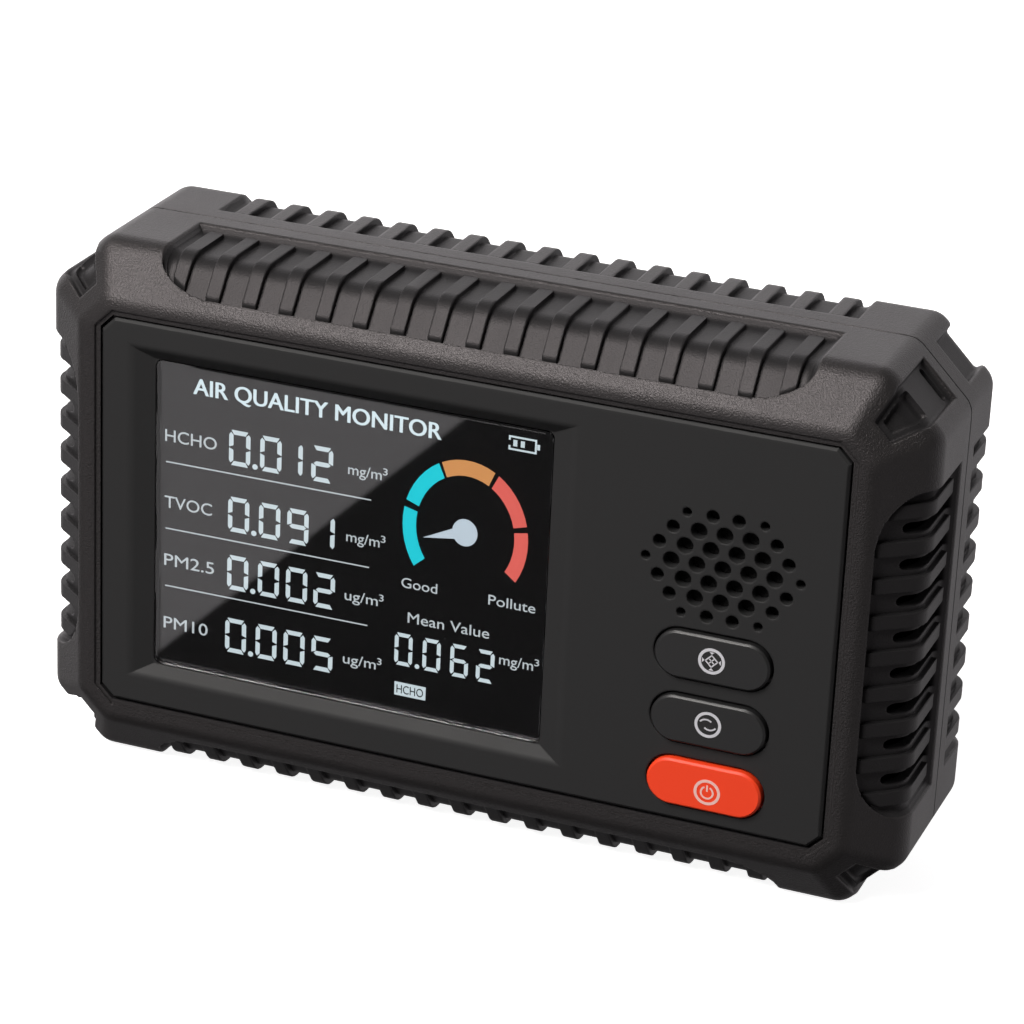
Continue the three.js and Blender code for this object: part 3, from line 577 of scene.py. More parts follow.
def shade_from(mesh, field):
    """Corner normals from the field, so roundings shade smoothly and sharp edges stay sharp."""
    count = len(mesh.vertices)
    co = np.empty(count * 3, np.float32)
    mesh.vertices.foreach_get("co", co)
    co = co.reshape(-1, 3).astype(float)
    corners = np.empty(len(mesh.loops), np.int32)
    mesh.loops.foreach_get("vertex_index", corners)
    triangles = corners.reshape(-1, 3)
    a, b, c = (co[triangles[:, i]] for i in range(3))
    flat = np.cross(b - a, c - a)
    flat /= np.maximum(np.linalg.norm(flat, axis=1, keepdims=True), 1e-12)
    middle = np.repeat((a + b + c) / 3, 3, axis=0)
    inward = middle - co[corners]
    reach = np.linalg.norm(inward, axis=1, keepdims=True)
    inward *= np.minimum(0.3, 0.15 / np.maximum(reach, 1e-6))
    normals = gradient(field, co[corners] + inward)
    flat = np.repeat(flat, 3, axis=0)
    stray = np.einsum("ij,ij->i", normals, flat) < 0.8
    normals[stray] = flat[stray]
    mesh.normals_split_custom_set(normals.tolist())


def finish_inside(mesh, finish, inside):
    """Gives another finish to the faces whose middle is inside a field."""
    mesh.materials.append(finish)
    middles = np.empty(len(mesh.polygons) * 3, np.float32)
    mesh.polygons.foreach_get("center", middles)
    index = inside(*middles.reshape(-1, 3).T) < 0
    mesh.polygons.foreach_set("material_index", index.astype(np.int32))


def moulded(name, field, low, high, step, keep, node, finish, body="housing", second=None):
    """A piece made from a field, in place of a CAD node.

    low and high are the corners of the box that the grid fills, step is the grid's spacing, and
    keep is the share of the faces that stay after thinning.
    """
    points, quads = contour(field, low, high, step)
    mesh = thinned(mesh_from(name, points, quads), keep)
    mesh.name = name
    mesh.polygons.foreach_set("use_smooth", np.ones(len(mesh.polygons), bool))
    shade_from(mesh, field)
    mesh.materials.clear()
    mesh.materials.append(finish)
    if second:
        finish_inside(mesh, *second)
    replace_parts(placed(name, mesh, body), node)


# ---- Materials ----


def fill_in(node, settings):
    """Sets the values of a node's inputs."""
    for name, value in settings.items():
        node.inputs[name].default_value = value


def material(name, color, roughness, metallic=0.0):
    """A new material and its shader."""
    made = bpy.data.materials.new(name)
    made.use_nodes = True
    shader = made.node_tree.nodes["Principled BSDF"]
    fill_in(shader, {"Base Color": (*color, 1), "Roughness": roughness, "Metallic": metallic})
    return made, shader


def link(made, from_, to):
    made.node_tree.links.new(from_, to)


def textured(made, kind, settings, mapping=None):
    """A texture in object space, which a mapping may stretch or turn."""
    nodes = made.node_tree.nodes
    texture = nodes.new(kind)
    fill_in(texture, settings)
    place = nodes.new("ShaderNodeTexCoord").outputs["Object"]
    if mapping:
        space = nodes.new("ShaderNodeMapping")
        fill_in(space, mapping)
        link(made, place, space.inputs["Vector"])
        place = space.outputs["Vector"]
    link(made, place, texture.inputs["Vector"])
    return texture


def noise(made, scale, detail=2.0, roughness=0.5, mapping=None):
    """Noise with the given number of features per metre."""
    settings = {"Scale": scale, "Detail": detail, "Roughness": roughness}
    return textured(made, "ShaderNodeTexNoise", settings, mapping)


def mapped(made, source, low, high):
    """A value from 0 to 1 spread over a range."""
    ramp = made.node_tree.nodes.new("ShaderNodeMapRange")
    fill_in(ramp, {"To Min": low, "To Max": high})
    link(made, source, ramp.inputs["Value"])
    return ramp.outputs["Result"]


def bumped(made, shader, height, distance):
    """Relief of the given height in metres."""
    bump = made.node_tree.nodes.new("ShaderNodeBump")
    fill_in(bump, {"Distance": distance, "Strength": 1.0})
    link(made, height, bump.inputs["Height"])
    link(made, bump.outputs["Normal"], shader.inputs["Normal"])


def grained_plastic(name, color, roughness, grain=3200, height=0.000012, gloss=0.5, tint=(1, 1, 1)):
    """Moulded plastic with a fine spark-eroded grain and slightly uneven gloss."""
    made, shader = material(name, color, roughness)
    fill_in(shader, {"Specular IOR Level": gloss, "Specular Tint": (*tint, 1)})
    fine = noise(made, grain, 2.0, 0.6)
    bumped(made, shader, fine.outputs["Fac"], height)
    broad = noise(made, 60, 3.0)
    uneven = mapped(made, broad.outputs["Fac"], roughness - 0.05, roughness + 0.05)
    link(made, uneven, shader.inputs["Roughness"])
    return made


def soft_foam(name, color):
    """Open-cell foam: dull, with small dark cells."""
    made, shader = material(name, color, 0.95)
    cells = textured(made, "ShaderNodeTexVoronoi", {"Scale": 1400})
    bumped(made, shader, cells.outputs["Distance"], 0.0003)
    return made


def rolled_steel(name, color, roughness):
    """Rolled or stamped metal with fine lines along its width."""
    made, shader = material(name, color, roughness, 1.0)
    lines = noise(made, 900, 3.0, mapping={"Scale": (0.15, 1, 1)})
    bumped(made, shader, lines.outputs["Fac"], 0.000004)
    uneven = mapped(made, lines.outputs["Fac"], roughness - 0.08, roughness + 0.1)
    link(made, uneven, shader.inputs["Roughness"])
    return made


def circuit_board(name, color, track):
    """Lacquered board with copper tracks showing under the lacquer."""
    made, shader = material(name, color, 0.35)
    settings = {
        "Scale": 260,
        "Mortar Size": 0.03,
        "Color1": (*color, 1),
        "Color2": (*[0.8 * v for v in color], 1),
        "Mortar": (*track, 1),
    }
    turn = {"Rotation": (math.radians(90), 0, 0)}
    tracks = textured(made, "ShaderNodeTexBrick", settings, turn)
    link(made, tracks.outputs["Color"], shader.inputs["Base Color"])
    bumped(made, shader, tracks.outputs["Fac"], 0.00003)
    return made


def crinkled_foil(name, color):
    """Pouch foil with broad creases."""
    made, shader = material(name, color, 0.35, 0.9)
    creases = noise(made, 120, 5.0, 0.6)
    bumped(made, shader, creases.outputs["Fac"], 0.0004)
    return made


def lit(name, color, strength):
    """Lit segments of the display."""
    made, shader = material(name, [0.2 * v for v in color], 0.6)
    fill_in(shader, {"Emission Color": (*color, 1), "Emission Strength": strength})
    uneven = noise(made, 400)
    link(made, mapped(made, uneven.outputs["Fac"], 0.5, 0.7), shader.inputs["Roughness"])
    return made


def smoked_glass(name):
    """The tinted lens over the display, polished, with a trace of waviness."""
    made, shader = material(name, (0.6, 0.6, 0.61), 0.0)
    fill_in(shader, {"Transmission Weight": 1.0, "IOR": 1.5})
    waves = noise(made, 30, 1.0)
    bumped(made, shader, waves.outputs["Fac"], 0.000002)
    return made


def key_print(name, color):
    """Printing ink, a little rougher than the key under it."""
    made, shader = material(name, color, 0.5)
    ink = noise(made, 5000)
    bumped(made, shader, ink.outputs["Fac"], 0.000004)
    return made


WARM = (1.0, 0.93, 0.95)
HOUSING_GRAIN = 3600
housing_plastic = grained_plastic(
    "housing_plastic", (0.0165, 0.0155, 0.0155), 0.42, HOUSING_GRAIN, 0.00011, tint=WARM
)
grip_plastic = grained_plastic(
    "grip_plastic", (0.0145, 0.0142, 0.0148), 0.48, HOUSING_GRAIN, 0.00005, gloss=0.3, tint=WARM
)
plate_plastic = grained_plastic(
    "plate_plastic", (0.019, 0.019, 0.0195), 0.62, height=0.000006, gloss=0.35
)
key_plastic = grained_plastic("key_plastic", (0.017, 0.017, 0.0175), 0.42, height=0.000004)
red_plastic = grained_plastic("red_plastic", (0.95, 0.055, 0.01), 0.5, height=0.000004)
lens_glass = smoked_glass("lens_glass")
panel_face = grained_plastic(
    "panel_face", (0.004, 0.004, 0.0045), 0.6, height=0.000002, gloss=0.2
)
pale_light = lit("pale_light", (0.8, 0.94, 0.98), 1.2)
dim_light = lit("dim_light", (0.74, 0.82, 0.85), 1.12)
cyan_light = lit("cyan_light", (0.015, 0.72, 0.82), 1.4)
orange_light = lit("orange_light", (0.8, 0.36, 0.12), 1.3)
coral_light = lit("coral_light", (0.93, 0.16, 0.13), 1.3)
grey_light = lit("grey_light", (0.61, 0.72, 0.8), 1.4)
pale_ink = key_print("pale_ink", (0.62, 0.62, 0.66))
pink_ink = key_print("pink_ink", (0.9, 0.55, 0.5))
black_foam = soft_foam("black_foam", (0.003, 0.003, 0.003))
steel = rolled_steel("steel", (0.55, 0.55, 0.56), 0.3)
green_board = circuit_board("green_board", (0.01, 0.09, 0.035), (0.03, 0.16, 0.06))
brown_film = grained_plastic("brown_film", (0.25, 0.09, 0.02), 0.3, height=0.000002)
blue_plastic = grained_plastic("blue_plastic", (0.02, 0.07, 0.25), 0.45)
white_plastic = grained_plastic("white_plastic", (0.72, 0.71, 0.66), 0.45)
silver_foil = crinkled_foil("silver_foil", (0.6, 0.61, 0.63))

# ---- Moulded pieces ----


def front_grips(x, d, c):
    """Negative in the front recesses, below the grained outer surface."""
    return np.maximum(outer_sides(x, d, c) + GRAIN_DEPTH, GRAIN_DEPTH - d)


def rear_grips(x, d, c):
    """The same in the rear recesses."""
    return front_grips(x, DEPTH - d, c)


moulded(
    "front_shell",
    front_housing_field,
    low=(-HALF_WIDTH, 0, -HALF_HEIGHT),
    high=(HALF_WIDTH, SEAM, HALF_HEIGHT),
    step=0.3,
    keep=0.15,
    node="front_housing",
    finish=housing_plastic,
    second=(grip_plastic, front_grips),
)
moulded(
    "rear_shell",
    rear_housing_field,
    low=(-HALF_WIDTH, SEAM - LIP["reach"], -HALF_HEIGHT),
    high=(HALF_WIDTH, DEPTH, HALF_HEIGHT),
    step=0.4,
    keep=0.22,
    node="rear_housing",
    finish=housing_plastic,
    second=(grip_plastic, rear_grips),
)
moulded(
    "front_plate",
    faceplate_field,
    low=(-63, 0, -34),
    high=(63, 4, 35),
    step=0.3,
    keep=0.2,
    node="faceplate",
    finish=plate_plastic,
)
moulded(
    "screen_lens",
    lens_field,
    low=(-54, 1.4, -27),
    high=(15, 2.8, 29),
    step=0.4,
    keep=0.2,
    node="display_lens",
    finish=lens_glass,
)
moulded(
    "screen_panel",
    screen_field,
    low=(-55, 2.9, -27),
    high=(16, 6.4, 29),
    step=0.4,
    keep=0.2,
    node="display_panel",
    finish=panel_face,
)
for key, height in BUTTON_HEIGHTS.items():
    moulded(
        f"{key}_key_cap",
        button_field(height),
        low=(BUTTON["x"] - 11.5, -1, height - 5),
        high=(BUTTON["x"] + 11.5, 5.7, height + 5),
        step=0.25,
        keep=0.3,
        body=f"{key}_key",
        node=f"{key}_button",
        finish=red_plastic if key == "power" else key_plastic,
    )

# ---- Printed and lit shapes ----

# Degrees of a ring that one four-sided shape spans
BAND_STEP = 7


def on_ellipse(x, c, radius, angle, stretch=1.0):
    return (x + radius * math.cos(angle), c + stretch * radius * math.sin(angle))


def disc(x, c, radius, count=40, stretch=1.0):
    turns = [2 * math.pi * i / count for i in range(count)]
    return [on_ellipse(x, c, radius, t, stretch) for t in turns]


def band(x, c, outer, inner, start, end, stretch=1.0):
    """Part of a ring between two angles in degrees, as a run of four-sided shapes."""
    count = max(2, round(abs(end - start) / BAND_STEP))
    turns = [math.radians(start + (end - start) * i / count) for i in range(count + 1)]
    out, back = ([on_ellipse(x, c, radius, t, stretch) for t in turns] for radius in (outer, inner))
    return [[back[i], out[i], out[i + 1], back[i + 1]] for i in range(count)]


def bar(start, end, width):
    """A straight stroke with square ends."""
    (x0, c0), (x1, c1) = start, end
    length = math.hypot(x1 - x0, c1 - c0)
    nx, nc = -(c1 - c0) / length * width / 2, (x1 - x0) / length * width / 2
    return [(x0 - nx, c0 - nc), (x1 - nx, c1 - nc), (x1 + nx, c1 + nc), (x0 + nx, c0 + nc)]


def prints_mesh(name, shapes, depth, thick):
    """Thin flat shapes whose fronts lie at a depth. Shapes that share corners become one."""
    mesh = bpy.data.meshes.new(name)
    build = bmesh.new()
    for shape in shapes:
        build.faces.new([build.verts.new((x, depth, c)) for x, c in shape])
    bmesh.ops.remove_doubles(build, verts=build.verts, dist=0.001)
    bmesh.ops.recalc_face_normals(build, faces=build.faces)
    for face in build.faces:
        if face.normal.y > 0:
            face.normal_flip()
    grown = bmesh.ops.extrude_face_region(build, geom=list(build.faces))
    moved = [v for v in grown["geom"] if isinstance(v, bmesh.types.BMVert)]
    bmesh.ops.translate(build, verts=moved, vec=(0, thick, 0))
    bmesh.ops.recalc_face_normals(build, faces=build.faces)
    build.to_mesh(mesh)
    build.free()
    return mesh


def lettering(text, from_x, to_x, c, capital, thick, depth):
    """A line of text as a mesh, standing on height c and stretched to the given width."""

    def shaped(line):
        curve = bpy.data.curves.new("text", "FONT")
        curve.body = line
        curve.extrude = 0.5
        curve.resolution_u = 4
        obj = added("text", curve)
        mesh = evaluated_mesh(obj)
        bpy.data.objects.remove(obj)
        bpy.data.curves.remove(curve)
        return mesh

    letter = shaped("H")
    height = max(v.co.y for v in letter.vertices)
    bpy.data.meshes.remove(letter)
    mesh = shaped(text)
    left, right = min(v.co.x for v in mesh.vertices), max(v.co.x for v in mesh.vertices)
    size = Matrix.Diagonal(((to_x - from_x) / (right - left), capital / height, thick, 1))
    stand = Matrix.Rotation(math.radians(90), 4, "X")
    place = Matrix.Translation((from_x, depth + thick / 2, c))
    mesh.transform(place @ stand @ size @ Matrix.Translation((-left, 0, 0)))
    return mesh


def printed(name, meshes, body, finish):
    """The meshes joined into one piece."""
    build = bmesh.new()
    for mesh in meshes:
        build.from_mesh(mesh)
        bpy.data.meshes.remove(mesh)
    mesh = bpy.data.meshes.new(name)
    build.to_mesh(mesh)
    build.free()
    mesh.materials.append(finish)
    placed(name, mesh, body)


# ---- Display ----

PRINT_THICK = 0.05
PRINT_DEPTH = SCREEN["front"] - PRINT_THICK - 0.02
PRINT_ABOVE = PRINT_DEPTH - 0.06
SEGMENTS_ON = {"0": "abcdef", "1": "bc", "2": "abdeg", "5": "acdfg", "6": "acdefg", "9": "abcdfg"}


def digit(figure, x, c, width, height, stroke):
    """One seven-segment figure, its lower left corner at x, c."""
    gap, cut = 0.1, 0.4 * stroke
    w, h, t, mid = width, height, stroke, height / 2
    upright = [
        (0, mid + gap),
        (t, mid + gap + cut),
        (t, h - t - gap),
        (cut, h - cut - gap),
        (0, h - t - gap),
    ]
    flat = [(gap + cut, h), (w - gap - cut, h), (w - t - gap, h - t), (t + gap, h - t)]
    middle = [
        (t + gap, mid + t / 2),
        (w - t - gap, mid + t / 2),
        (w - cut - gap, mid),
        (w - t - gap, mid - t / 2),
        (t + gap, mid - t / 2),
        (cut + gap, mid),
    ]

    def across(points):
        return [(w - px, pc) for px, pc in points]

    def down(points):
        return [(px, h - pc) for px, pc in points]

    shapes = {
        "a": flat,
        "b": across(upright),
        "c": down(across(upright)),
        "d": down(flat),
        "e": down(upright),
        "f": upright,
        "g": middle,
    }
    return [[(x + px, c + pc) for px, pc in shapes[s]] for s in SEGMENTS_ON[figure]]


def reading(text, places, c, width, height, stroke):
    """A reading such as 0.012, with its point after the first figure."""
    shapes = []
    for figure, x in zip(text.replace(".", ""), places):
        shapes += digit(figure, x, c, width, height, stroke)
    point_x = (places[0] + width + places[1]) / 2
    return shapes + [disc(point_x, c + 0.55 * stroke, 0.62 * stroke, 16)]


# Label and where it ends, reading, unit, height, and where each figure starts
ROWS = [
    ("HCHO", -43.3, "0.012", "mg/m", 11.75, (-41.1, -35.6, -31.9, -26.6)),
    ("TVOC", -44.0, "0.091", "mg/m", 0.1, (-41.1, -35.6, -30.6, -26.0)),
    ("PM2.5", -43.5, "0.002", "ug/m", -10.2, (-41.1, -35.6, -30.6, -25.7)),
    ("PM10", -44.5, "0.005", "ug/m", -21.5, (-41.3, -35.8, -30.8, -25.8)),
]
DIGIT = {"width": 3.75, "height": 6.1, "stroke": 0.75}
ROW_LABEL = {"left": -52.5, "up": 2.0, "capital": 2.05}
UNIT = {"x": -20.2, "up": 2.3, "width": 5.8, "capital": 1.75, "power": (6.0, 6.8, 0.95, 1.15)}
SEPARATOR = {"left": -52.3, "right": -16.1, "rise": 0.15, "width": 0.2}
SEPARATOR_HEIGHTS = (10.15, -1.6, -11.85)
TITLE = {"text": "AIR QUALITY MONITOR", "left": -47.5, "right": -4.5, "c": 22.8, "capital": 2.7}
TITLE_BOLD = 0.08
# Word, its left and right end, its height and the height of its capitals
WORDS = [
    ("Good", -10.4, -4.2, -3.7, 1.7),
    ("Pollute", 4.6, 12.6, -3.7, 1.7),
    ("Mean Value", -9.1, 5.0, -9.7, 1.8),
]
MEAN_PLACES = (-11.2, -6.3, -1.5, 3.0)
MEAN_HEIGHT = -17.5
MEAN_DIGIT = {"width": 3.1, "height": 5.7, "stroke": 0.65}
MEAN_UNIT = (6.9, -13.7)
TAG = {"left": -11.0, "right": -5.55, "low": -22.9, "high": -20.55}
TAG_TEXT = (-10.6, -5.95, -22.45, 1.45)
# Strokes of the battery symbol: outline, contact on the right and two charge bars
BATTERY = [
    ((7.0, 23.5), (11.4, 23.5), 0.3),
    ((7.0, 25.6), (11.4, 25.6), 0.3),
    ((11.4, 23.35), (11.4, 25.75), 0.3),
    ((7.0, 23.35), (7.0, 24.1), 0.3),
    ((7.0, 25.0), (7.0, 25.75), 0.3),
    ((11.85, 24.1), (11.85, 25.0), 0.45),
    ((7.95, 24.05), (7.95, 25.1), 0.65),
    ((9.2, 24.05), (9.2, 25.1), 0.65),
]
GAUGE = {"x": 0.15, "c": 7.85, "outer": 10.7, "inner": 8.4, "stretch": 1.15}
NEEDLE = {"tip": (-7.1, -2.2), "root": (-1.4, -0.4), "across": (0.25, -1), "half": 0.95}
HUB = {"radius": 2.15, "stretch": 1.08}


def panel_readings():
    """The figures, words and lines on the display."""
    shapes, labels, title = [], [], []

    def write(text, from_x, to_x, c, capital, into=labels):
        into.append(lettering(text, from_x, to_x, c, capital, PRINT_THICK, PRINT_DEPTH))

    def unit(text, x, c):
        write(text, x, x + UNIT["width"], c, UNIT["capital"])
        left, right, up, capital = UNIT["power"]
        write("3", x + left, x + right, c + up, capital)

    # The title is struck three times, a little apart, which makes it bold
    for shift in (-TITLE_BOLD, 0, TITLE_BOLD):
        left, right = TITLE["left"] + shift, TITLE["right"] + shift
        write(TITLE["text"], left, right, TITLE["c"], TITLE["capital"], title)
    for label, label_end, value, unit_text, c, places in ROWS:
        shapes += reading(value, places, c, **DIGIT)
        write(label, ROW_LABEL["left"], label_end, c + ROW_LABEL["up"], ROW_LABEL["capital"])
        unit(unit_text, UNIT["x"], c + UNIT["up"])
    for c in SEPARATOR_HEIGHTS:
        ends = ((SEPARATOR["left"], c), (SEPARATOR["right"], c + SEPARATOR["rise"]))
        line = [bar(*ends, SEPARATOR["width"])]
        labels.append(prints_mesh("line", line, PRINT_DEPTH, PRINT_THICK))
    for word in WORDS:
        write(*word)
    shapes += reading("0.062", MEAN_PLACES, MEAN_HEIGHT, **MEAN_DIGIT)
    unit("mg/m", *MEAN_UNIT)
    left, right, low, high = (TAG[k] for k in ("left", "right", "low", "high"))
    shapes.append([(left, low), (right, low), (right, high), (left, high)])
    shapes += [bar(*stroke) for stroke in BATTERY]
    figures = prints_mesh("readings", shapes, PRINT_DEPTH, PRINT_THICK)
    printed("screen_readings", [figures, *title], "housing", pale_light)
    printed("screen_labels", labels, "housing", dim_light)
    tag = lettering("HCHO", *TAG_TEXT, PRINT_THICK, PRINT_ABOVE)
    printed("screen_tag", [tag], "housing", panel_face)


def panel_gauge():
    """A ring of coloured arcs, with spans in degrees, and the needle."""
    x, c, outer, inner, stretch = (GAUGE[k] for k in ("x", "c", "outer", "inner", "stretch"))
    arcs = {
        "cyan": (cyan_light, [(217, 168), (162, 117)]),
        "orange": (orange_light, [(114, 64)]),
        "coral": (coral_light, [(60, 14), (9, -34)]),
    }
    for colour, (finish, spans) in arcs.items():
        shapes = [s for span in spans for s in band(x, c, outer, inner, *span, stretch)]
        mesh = prints_mesh(colour, shapes, PRINT_DEPTH, PRINT_THICK)
        printed(f"gauge_{colour}", [mesh], "housing", finish)
    tip, root = (Vector((x + NEEDLE[k][0], c + NEEDLE[k][1])) for k in ("tip", "root"))
    side = Vector(NEEDLE["across"]).normalized() * NEEDLE["half"]
    needle = [tuple(tip), tuple(root + side), tuple(root - side)]
    mesh = prints_mesh("needle", [needle], PRINT_DEPTH, PRINT_THICK)
    hub = disc(x, c, HUB["radius"], stretch=HUB["stretch"])
    hub = prints_mesh("hub", [hub], PRINT_ABOVE, PRINT_THICK)
    printed("gauge_needle", [mesh, hub], "housing", grey_light)


panel_readings()
panel_gauge()

# ---- Icons on the buttons ----

ICON = {"outer": 2.2, "inner": 1.72, "thick": 0.06, "proud": 0.03}
DIAMOND = {"reach": 1.0, "stroke": 0.22, "cross": 0.38, "cross_stroke": 0.2}
POINTER = {"near": 1.15, "far": 1.55, "half": 0.42}
CYCLE = {"aside": 0.3, "down": 0.4, "outer": 1.4, "inner": 1.13}
CYCLE_SPANS = ((142, 49), (-38, -131))
POWER = {"down": 0.05, "outer": 1.15, "inner": 0.85, "from": 65, "to": -245}
POWER_STROKE = {"low": 0.15, "high": 1.25, "width": 0.3}


def target_icon(x, c):
    """A diamond with a cross in it and four pointers around it."""
    reach, cross = DIAMOND["reach"], DIAMOND["cross"]
    corners = [(x + reach, c), (x, c + reach), (x - reach, c), (x, c - reach)]
    shapes = [bar(a, b, DIAMOND["stroke"]) for a, b in zip(corners, corners[1:] + corners[:1])]
    for slant in (-cross, cross):
        shapes.append(bar((x - cross, c + slant), (x + cross, c - slant), DIAMOND["cross_stroke"]))
    near, far, half = POINTER["near"], POINTER["far"], POINTER["half"]
    for dx, dc in ((1, 0), (0, 1), (-1, 0), (0, -1)):
        shapes.append([
            (x + dx * near, c + dc * near),
            (x + dx * far - dc * half, c + dc * far + dx * half),
            (x + dx * far + dc * half, c + dc * far - dx * half),
        ])
    return shapes


def cycle_icon(x, c):
    """Two curved strokes, one above the other."""
    aside, down, outer, inner = (CYCLE[k] for k in ("aside", "down", "outer", "inner"))
    upper = band(x - aside, c - down, outer, inner, *CYCLE_SPANS[0])
    lower = band(x + aside, c + down, outer, inner, *CYCLE_SPANS[1])
    return upper + lower


def power_icon(x, c):
    """An open ring with a stroke in its gap."""
    arc = band(x, c - POWER["down"], POWER["outer"], POWER["inner"], POWER["from"], POWER["to"])
    low, high, width = (POWER_STROKE[k] for k in ("low", "high", "width"))
    return arc + [bar((x, c + low), (x, c + high), width)]


def print_icon(key, x, c, shape, finish):
    """A symbol in a ring on a key, raised a little so that its front stands clear of the cap."""
    depth = -BUTTON["proud"] - ICON["proud"]
    ring = band(x, c, ICON["outer"], ICON["inner"], 0, 360)
    mesh = prints_mesh(key, ring, depth, ICON["thick"])
    inner = [prints_mesh(key, [s], depth, ICON["thick"]) for s in shape(x, c)]
    printed(f"{key}_icon", [mesh, *inner], f"{key}_key", finish)


print_icon("upper", 43.3, -4.15, target_icon, pale_ink)
print_icon("middle", 43.4, -15.1, cycle_icon, pale_ink)
print_icon("power", 44.0, -26.8, power_icon, pink_ink)

# ---- Finishes of the CAD nodes that stay ----

FINISHES = {
    "housing": housing_plastic,
    "steel": steel,
    "circuit_board": green_board,
    "ribbon": brown_film,
    "foam": black_foam,
    "black_keys": key_plastic,
    "sensor_case": blue_plastic,
    "white_plastic": white_plastic,
    "battery_foil": silver_foil,
}
for part in frame["record"]["subparts"]:
    obj = frame["nodes"][part["node"]]
    if part["material_slot"] in FINISHES:
        obj.data.materials.clear()
        obj.data.materials.append(FINISHES[part["material_slot"]])

# ---- Studio ----

AZIMUTH, ELEVATION, ROLL = (math.radians(a) for a in (20.36, 22.96, 2.63))
CAMERA_PLACE = Vector((0.20407, -0.54762, 0.29725))
LENS_LENGTH = 137.0


def studio_camera():
    """The camera at the viewing angle, turned a little about its own axis."""
    across = Vector((math.cos(AZIMUTH), math.sin(AZIMUTH), 0))
    level = math.cos(ELEVATION)
    forward = Vector((-math.sin(AZIMUTH) * level, math.cos(AZIMUTH) * level, -math.sin(ELEVATION)))
    up = across.cross(forward)
    camera_x = math.cos(ROLL) * across + math.sin(ROLL) * up
    camera_y = math.cos(ROLL) * up - math.sin(ROLL) * across
    camera = bpy.data.cameras.new("camera")
    camera.lens = LENS_LENGTH
    camera.sensor_width = 36
    camera.clip_start = 0.01
    camera.clip_end = 20
    obj = added("camera", camera)
    turn = Matrix((camera_x, camera_y, -forward)).transposed().to_4x4()
    obj.matrix_world = Matrix.Translation(CAMERA_PLACE) @ turn
    bpy.context.scene.camera = obj


def key_light():
    """A soft box in front on the left, above the object."""
    light = bpy.data.lights.new("key_light", "AREA")
    light.shape = "RECTANGLE"
    light.size, light.size_y = KEY["size"]
    light.energy = KEY["power"]
    light.color = KEY["color"]
    obj = added("key_light", light)
    place = Vector(KEY["place"])
    turn = (Vector(KEY["target"]) - place).to_track_quat("-Z", "Y")
    obj.matrix_world = Matrix.Translation(place) @ turn.to_matrix().to_4x4()


WORLD = {"front": 0.12, "back": 1.15, "overhead": 0.05, "left": 1.36, "right": 0.52, "below": 0.25}
WORLD_COLOR = (0.99, 0.955, 0.97)
CARD_GLOW = 1.05
FILL_GLOW = 0.3
# Two points, x and height, where the reflection of the white card's edge crosses the lens
CARD_EDGE = ((-53.8, -24.4), (0.24, 28.0))
FLOOR_GLOW = 0.9
FLOOR_HALF = 4.0
FLOOR_DROP = 0.0002
BACKDROP = {"radius": 3.9, "height": 4.0, "sides": 48}
KEY = {
    "place": (-0.28, -0.62, 0.78),
    "target": (0, 0, 0.05),
    "size": (0.5, 0.4),
    "power": 12.5,
    "color": (1.0, 0.97, 0.94),
}


def card_edge():
    """Normal of the plane through the white card's edge and the camera's mirror image."""
    depth = FRONT + WINDOW["sunk"]
    seen = [Vector((x, depth, MIDDLE + c)) * MM - CAMERA_PLACE for x, c in CARD_EDGE]
    mirrored = [Vector((v.x, -v.y, v.z)) for v in seen]
    return mirrored[0].cross(mirrored[1]).normalized()


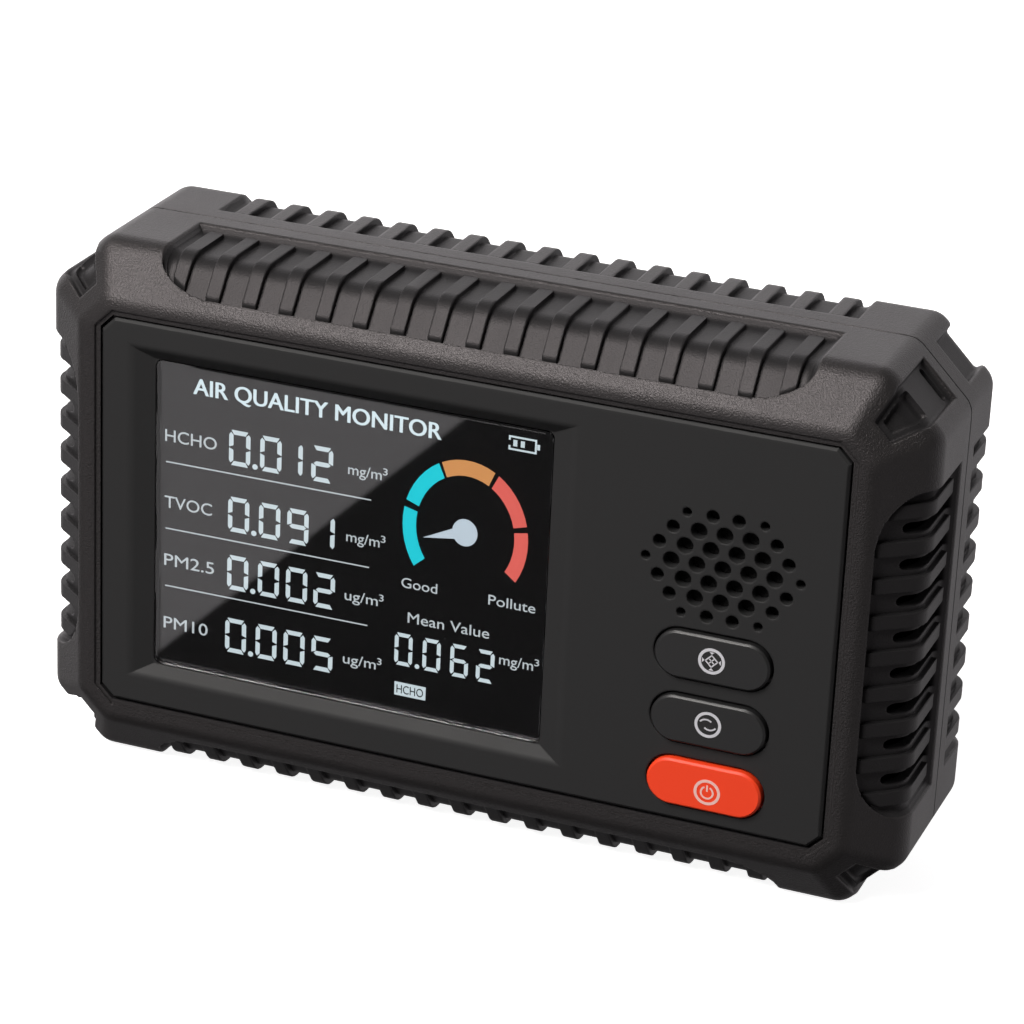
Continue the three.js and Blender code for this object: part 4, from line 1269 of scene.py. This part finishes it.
def world_light():
    """Bright behind the object, and dark in front of it and overhead.

    A white card stands in front on the left, and a dim one low on the right. All edges are given
    as parts of the direction's x, y and z.
    """
    world = bpy.data.worlds.new("studio")
    bpy.context.scene.world = world
    world.use_nodes = True
    tree = world.node_tree
    place = tree.nodes.new("ShaderNodeTexCoord")
    split = tree.nodes.new("ShaderNodeSeparateXYZ")
    tree.links.new(place.outputs["Generated"], split.inputs["Vector"])

    def ramp(value, low, high, to_low, to_high):
        node = tree.nodes.new("ShaderNodeMapRange")
        node.interpolation_type = "SMOOTHSTEP"
        fill_in(node, {"From Min": low, "From Max": high, "To Min": to_low, "To Max": to_high})
        tree.links.new(value, node.inputs["Value"])
        return node.outputs["Result"]

    def combine(operation, a, b):
        node = tree.nodes.new("ShaderNodeMath")
        node.operation = operation
        tree.links.new(a, node.inputs[0])
        tree.links.new(b, node.inputs[1])
        return node.outputs["Value"]

    side = tree.nodes.new("ShaderNodeVectorMath")
    side.operation = "DOT_PRODUCT"
    side.inputs[1].default_value = card_edge()
    tree.links.new(place.outputs["Generated"], side.inputs[0])
    back = ramp(split.outputs["Y"], -0.1, 0.45, WORLD["front"], WORLD["back"])
    overhead = ramp(split.outputs["Z"], 0.45, 0.85, 1.0, WORLD["overhead"])
    across = ramp(split.outputs["X"], -0.75, 0.75, WORLD["left"], WORLD["right"])
    below = ramp(split.outputs["Z"], -0.75, -0.05, WORLD["below"], 1.0)
    card = ramp(side.outputs["Value"], -0.001, 0.001, 0.0, CARD_GLOW)
    card = combine("MULTIPLY", card, ramp(split.outputs["Y"], -0.62, -0.55, 1.0, 0.0))
    card = combine("MULTIPLY", card, ramp(split.outputs["Z"], -0.12, -0.02, 1.0, 0.0))
    room = combine("MULTIPLY", back, overhead)
    room = combine("MULTIPLY", room, combine("MULTIPLY", across, below))
    fill = ramp(split.outputs["X"], 0.3, 0.7, 0.0, FILL_GLOW)
    fill = combine("MULTIPLY", fill, ramp(split.outputs["Z"], -0.25, 0.1, 1.0, 0.0))
    total = combine("ADD", room, combine("ADD", card, fill))
    background = tree.nodes["Background"]
    fill_in(background, {"Color": (*WORLD_COLOR, 1)})
    tree.links.new(total, background.inputs["Strength"])


def unlit(name, corners, faces, paint, height=0, shadow=True):
    """A surface that the camera sees, and that throws no light on the object."""
    mesh = bpy.data.meshes.new(name)
    mesh.from_pydata(corners, [], faces)
    mesh.materials.append(paint)
    obj = added(name, mesh)
    obj.location.z = height
    obj.visible_diffuse = False
    obj.visible_glossy = False
    obj.visible_transmission = False
    obj.visible_shadow = shadow


def studio():
    """The room's light, a pale floor, pale paper all round it and the key light."""
    world_light()
    floor_paint, shader = material("floor_paint", (0.8, 0.8, 0.8), 0.9)
    fill_in(shader, {"Emission Color": (1, 1, 1, 1), "Emission Strength": FLOOR_GLOW})
    r = FLOOR_HALF
    corners = [(-r, -r, 0), (r, -r, 0), (r, r, 0), (-r, r, 0)]
    unlit("floor", corners, [(0, 1, 2, 3)], floor_paint, -FLOOR_DROP)

    radius, height, sides = (BACKDROP[k] for k in ("radius", "height", "sides"))
    around = [2 * math.pi * i / sides for i in range(sides)]
    rim = [(radius * math.cos(t), radius * math.sin(t), z) for z in (0, height) for t in around]
    walls = [(i, (i + 1) % sides, (i + 1) % sides + sides, i + sides) for i in range(sides)]
    unlit("backdrop", rim, walls, floor_paint, shadow=False)
    key_light()
    bpy.context.scene.view_settings.view_transform = "Standard"


studio_camera()
studio()
